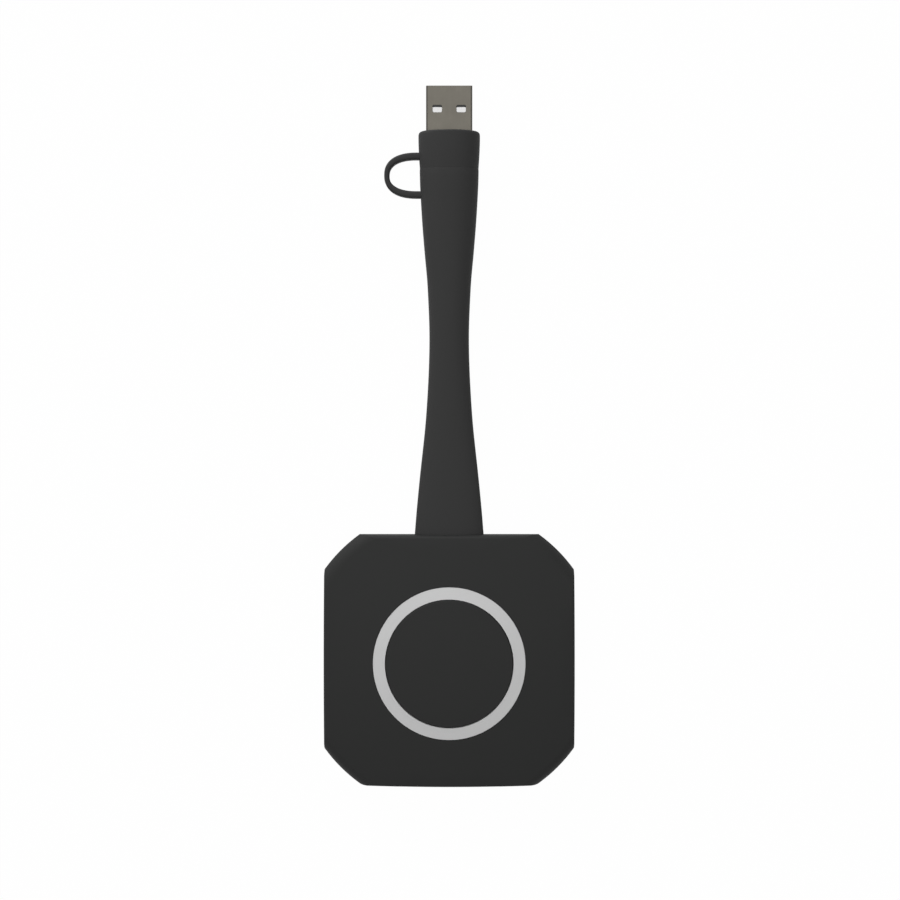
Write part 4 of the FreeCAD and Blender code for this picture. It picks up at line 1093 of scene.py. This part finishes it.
@dataclass
class AdapterHead:
    """The soft outside of the adapter, from the seam to the end that the USB-A plug leaves."""

    seam_y: float = 127.665
    end_y: float = 137.3
    edge: float = 0.02
    round_radius: float = 0.9
    face_radius: float = 0.3
    round_steps: int = 6
    core_half_width: float = 6.4
    core_half_thickness: float = 3.9
    core_depth: float = 1.6
    hole_half_width: float = 5.85
    hole_half_thickness: float = 2.1
    ring_step: float = 0.9
    merge_gap: float = 0.01

    def stations(self) -> list[Station]:
        """The measured sections, up to where the end starts to round.

        Returns:
            Y, half width and half thickness of each.
        """
        return [
            (self.seam_y, 7.65, 5.21),
            (131.2, 7.88, 5.4),
            (134.8, 8.02, 5.5),
            (self.end_y - self.round_radius, 8.02, 5.5),
        ]

    def build(self) -> bpy.types.Object:
        """Draw the outside, round its end, run the passage back through it and close the loop.

        Returns:
            The head.
        """
        tube = OvalTube()
        stations = self.stations()
        _, seam_width, seam_thickness = stations[0]
        head = tube.start(self.seam_y, seam_width - self.edge, seam_thickness - self.edge)
        tube.draw_to(self.seam_y + self.edge, seam_width, seam_thickness)
        for ring in smooth_course(stations, self.ring_step):
            tube.draw_to(*ring)
        _, width, thickness = stations[-1]
        for step in range(1, self.round_steps + 1):
            angle = math.pi / 2 * step / self.round_steps
            y = self.end_y - self.round_radius * (1 - math.sin(angle))
            inset = self.round_radius * (1 - math.cos(angle))
            past = min(max(1 - (self.end_y - y) / self.face_radius, 0.0), 1.0)
            drop = self.face_radius * (1 - math.sqrt(1 - past**2))
            tube.draw_to(y, width - inset, thickness - drop)
        tube.draw_to(self.end_y, self.hole_half_width, self.hole_half_thickness)
        core_end = self.seam_y + self.core_depth
        tube.draw_to(core_end, self.hole_half_width, self.hole_half_thickness)
        tube.draw_to(core_end, self.core_half_width, self.core_half_thickness)
        tube.draw_to(self.seam_y, self.core_half_width, self.core_half_thickness)
        tube.draw_to(self.seam_y, seam_width - self.edge, seam_thickness - self.edge)
        bpy.ops.mesh.select_all(action="SELECT")
        bpy.ops.mesh.remove_doubles(threshold=self.merge_gap * MM)
        close_edit()
        return settle(head, "head_skin")


@dataclass
class TetherStrap:
    """The flat strap that loops from the head's side back into the arm."""

    root_x: float = -8.3
    centre_y: float = 125.92
    outer_reach: float = 8.6
    outer_half: float = 5.92
    inner_reach: float = 7.28
    inner_half: float = 4.12
    squareness: float = 2.38
    buried_x: float = -6.9
    half_height: float = 1.7
    edge_radius: float = 0.55
    edge_steps: int = 4
    loop_steps: int = 64
    smooth_angle: float = 60.0

    def edge_point(self, angle: float, reach: float, half: float) -> Vector:
        """A point on the outer or inner edge of the loop.

        Args:
            angle: 0 at the head's root, pi at the arm's.
            reach: How far the edge goes out along X.
            half: Half the edge's height along Y at its roots.

        Returns:
            The point, in millimetres, on the parting plane.
        """
        power = 2.0 / self.squareness
        out = reach * math.sin(angle) ** power
        along = math.copysign(half * abs(math.cos(angle)) ** power, math.cos(angle))
        return Vector((self.root_x - out, self.centre_y + along, PARTING_Z))

    def outline(self) -> list[tuple[Vector, Vector]]:
        """Pairs of points on the outer and inner edge, from the head's root to the arm's.

        Returns:
            The pairs, in millimetres, on the parting plane.
        """
        pairs = []
        for step in range(self.loop_steps + 1):
            angle = math.pi * step / self.loop_steps
            outer = self.edge_point(angle, self.outer_reach, self.outer_half)
            pairs.append((outer, self.edge_point(angle, self.inner_reach, self.inner_half)))
        bury = Vector((self.buried_x - self.root_x, 0.0, 0.0))
        first, last = pairs[0], pairs[-1]
        return [(first[0] + bury, first[1] + bury), *pairs, (last[0] + bury, last[1] + bury)]

    def section(self, outer: Vector, inner: Vector) -> list[Vector]:
        """A rectangle with round corners between an outer and an inner point.

        Args:
            outer: The outer edge's point.
            inner: The inner edge's point.

        Returns:
            The section's points in order, in metres.
        """
        middle, across = (outer + inner) / 2, (outer - inner) / 2
        reach = across.length
        direction = across / reach
        points = []
        for turn in range(4):
            side = 1 if turn in (0, 3) else -1
            lift = 1 if turn in (0, 1) else -1
            for step in range(self.edge_steps + 1):
                angle = math.pi / 2 * (turn + step / self.edge_steps)
                out = side * (reach - self.edge_radius) + self.edge_radius * math.cos(angle)
                up = lift * (self.half_height - self.edge_radius) + self.edge_radius * math.sin(angle)
                points.append((middle + direction * out + Vector((0.0, 0.0, up))) * MM)
        return points

    def build(self) -> bpy.types.Object:
        """Extrude the strap's section round the loop.

        Returns:
            The strap.
        """
        sections = [self.section(*pair) for pair in self.outline()]
        corners = len(sections[0])
        deselect_everything()
        bpy.ops.mesh.primitive_circle_add(vertices=corners, radius=MM, fill_type="NGON")
        strap = bpy.context.object
        for vertex, place in zip(strap.data.vertices, sections[0]):
            vertex.co = place
        edit(strap)
        for section in sections[1:]:
            bpy.ops.mesh.extrude_region_move(TRANSFORM_OT_translate={"value": (0.0, 0.0, 0.0)})
            mesh = bmesh.from_edit_mesh(strap.data)
            for vertex, place in zip(list(mesh.verts)[-corners:], section):
                vertex.co = place
            bmesh.update_edit_mesh(strap.data)
        close_edit()
        return settle(strap, "strap_loop", self.smooth_angle)


@dataclass
class ReturnPad:
    """The soft square frame under the push disc, which the disc squeezes as it travels; it is built here
    at rest.
    """

    width: float = 12.0
    side: float = 1.2
    low_z: float = 6.7
    high_z: float = 9.15
    travel: float = 0.6
    edge: float = 0.12

    def build(self) -> bpy.types.Object:
        """Inset a square, open its middle and draw the frame up.

        Returns:
            The pad.
        """
        deselect_everything()
        bpy.ops.mesh.primitive_plane_add(size=self.width * MM, location=(0.0, 0.0, self.low_z * MM))
        pad = bpy.context.object
        bpy.ops.object.transform_apply(location=True, rotation=True, scale=True)
        edit(pad)
        bpy.ops.mesh.inset(thickness=self.side * MM, depth=0.0)
        bpy.ops.mesh.delete(type="FACE")
        bpy.ops.mesh.select_all(action="SELECT")
        bpy.ops.mesh.extrude_region_move(TRANSFORM_OT_translate={"value": (0.0, 0.0, self.height() * MM)})
        bpy.ops.mesh.bevel(offset=self.edge * MM, segments=BEVEL_SEGMENTS, affect="EDGES")
        close_edit()
        return settle(pad, "soft_return_pad")

    def height(self) -> float:
        """The pad's height when nothing presses on it.

        Returns:
            The height.
        """
        return self.high_z - self.low_z


@dataclass(frozen=True)
class Lamp:
    """A lamp of the studio: where it hangs, in metres, and its power, in watts."""

    name: str
    place: tuple[float, float, float]
    power: float


LAMPS = (
    Lamp("beyond_plug", (-0.558, 1.257, 0.281), 20.5),
    Lamp("overhead", (0.0, 0.107, 1.349), 7.4),
)


@dataclass
class Studio:
    """Camera, lamps, floor and background.

    The lens, its sensor and the camera's place are in millimetres, the rest is in metres. The frame's
    shift is in pixels of the photo.
    """

    lens: float = 50.0
    sensor_width: float = 36.0
    camera_y: float = 90.4
    camera_z: float = 332.0
    photo_side: float = 900.0
    pixels_right: float = 0.8
    pixels_up: float = -138.0
    nearest: float = 0.01
    farthest: float = 10.0
    lamp_side: float = 0.9
    lamp_aim_y: float = 0.06
    floor_side: float = 6.0
    floor_z: float = -0.00002
    floor_tone: float = 0.82
    floor_glow: float = 0.985
    ambient: float = 0.2

    def build(self) -> None:
        """Set up the whole stage."""
        self.camera()
        for lamp in LAMPS:
            self.hang(lamp)
        self.floor()
        self.world()
        bpy.context.scene.view_settings.view_transform = "Standard"

    def camera(self) -> None:
        """A camera that looks straight down, its frame moved towards the puck."""
        data = bpy.data.cameras.new("camera")
        data.lens = self.lens
        data.sensor_width = self.sensor_width
        data.shift_x = self.pixels_right / self.photo_side
        data.shift_y = self.pixels_up / self.photo_side
        data.clip_start = self.nearest
        data.clip_end = self.farthest
        camera = bpy.data.objects.new("camera", data)
        camera.location = (0.0, self.camera_y * MM, self.camera_z * MM)
        bpy.context.scene.collection.objects.link(camera)
        bpy.context.scene.camera = camera

    def hang(self, lamp: Lamp) -> None:
        """Hang one square area lamp, aimed at the object's middle.

        Args:
            lamp: Its name, place and power.
        """
        data = bpy.data.lights.new(lamp.name, "AREA")
        data.size = self.lamp_side
        data.energy = lamp.power
        light = bpy.data.objects.new(lamp.name, data)
        light.location = lamp.place
        aim = Vector((0.0, self.lamp_aim_y, 0.0)) - Vector(lamp.place)
        light.rotation_euler = aim.to_track_quat("-Z", "Y").to_euler()
        bpy.context.scene.collection.objects.link(light)

    def floor(self) -> None:
        """A wide floor just under the object."""
        deselect_everything()
        bpy.ops.mesh.primitive_plane_add(size=self.floor_side, location=(0.0, 0.0, self.floor_z))
        floor = bpy.context.object
        floor.name = "floor"
        floor.data.materials.append(self.paper())

    def paper(self) -> bpy.types.Material:
        """Paper that the camera sees nearly white, and that keeps a soft shadow.

        Returns:
            The floor's material.
        """
        material = bpy.data.materials.new("white_floor")
        material.use_nodes = True
        material.node_tree.nodes.clear()
        wires = Wiring(material.node_tree)
        tone = self.floor_tone
        paper = wires.add("ShaderNodeBsdfDiffuse", {"Color": (tone, tone, tone, 1.0)})
        glow = wires.add("ShaderNodeEmission", {"Color": WHITE})
        share = wires.maths("MULTIPLY", {1: self.floor_glow})
        wires.link(wires.ray_mask(("Camera", "Glossy")), share, 0)
        end = wires.add("ShaderNodeOutputMaterial")
        wires.mix_shaders(share.outputs["Value"], paper.outputs["BSDF"], glow.outputs["Emission"], end)
        return material

    def world(self) -> None:
        """White behind the object and in its reflections, soft grey as light."""
        world = bpy.data.worlds.new("studio")
        bpy.context.scene.world = world
        world.use_nodes = True
        world.node_tree.nodes.clear()
        wires = Wiring(world.node_tree)
        light = wires.add("ShaderNodeBackground", {"Color": WHITE, "Strength": self.ambient})
        shown = wires.add("ShaderNodeBackground", {"Color": WHITE})
        mask = wires.ray_mask(("Camera", "Glossy", "Transmission"))
        end = wires.add("ShaderNodeOutputWorld")
        wires.mix_shaders(mask, light.outputs["Background"], shown.outputs["Background"], end)


def dress_nodes() -> dict[str, bpy.types.Material]:
    """Make every material and dress the carried-over nodes.

    Returns:
        The materials by their finishes' names.
    """
    groups = NodeGroups()
    materials = {finish.name: finish.material(groups) for finish in dict.fromkeys(CAD_FINISHES.values())}
    for node, finish in CAD_FINISHES.items():
        dress(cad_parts[node], materials[finish.name])
    log.info("dressed %d carried-over nodes", len(CAD_FINISHES))
    return materials


def main() -> None:
    """Dress the nodes, build the scene's own pieces in order and set the stage."""
    materials = dress_nodes()

    cover = FrontSkin().build()
    dress(cover, materials[SHELL.name])
    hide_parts("front_cover")
    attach(cover, ROOT_BODY)

    arm = FlexibleArm().build()
    dress(arm, materials[SOFT.name])
    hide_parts("arm_overmould")
    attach(arm, ROOT_BODY)

    head = AdapterHead().build()
    dress(head, materials[SOFT.name])
    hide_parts("adapter_collar")
    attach(head, ADAPTER_BODY)

    strap = TetherStrap().build()
    dress(strap, materials[SOFT.name])
    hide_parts("tether")
    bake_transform(strap)

    pad = ReturnPad()
    soft_pad = pad.build()
    dress(soft_pad, materials[SILICONE.name])
    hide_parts("button_return_pad")
    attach(soft_pad, ROOT_BODY)
    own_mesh(soft_pad)

    for piece in (cover, arm, head, strap, soft_pad):
        log.info("%s: %d faces", piece.name, len(piece.data.polygons))

    Studio().build()


if __name__ == "__main__":
    main()
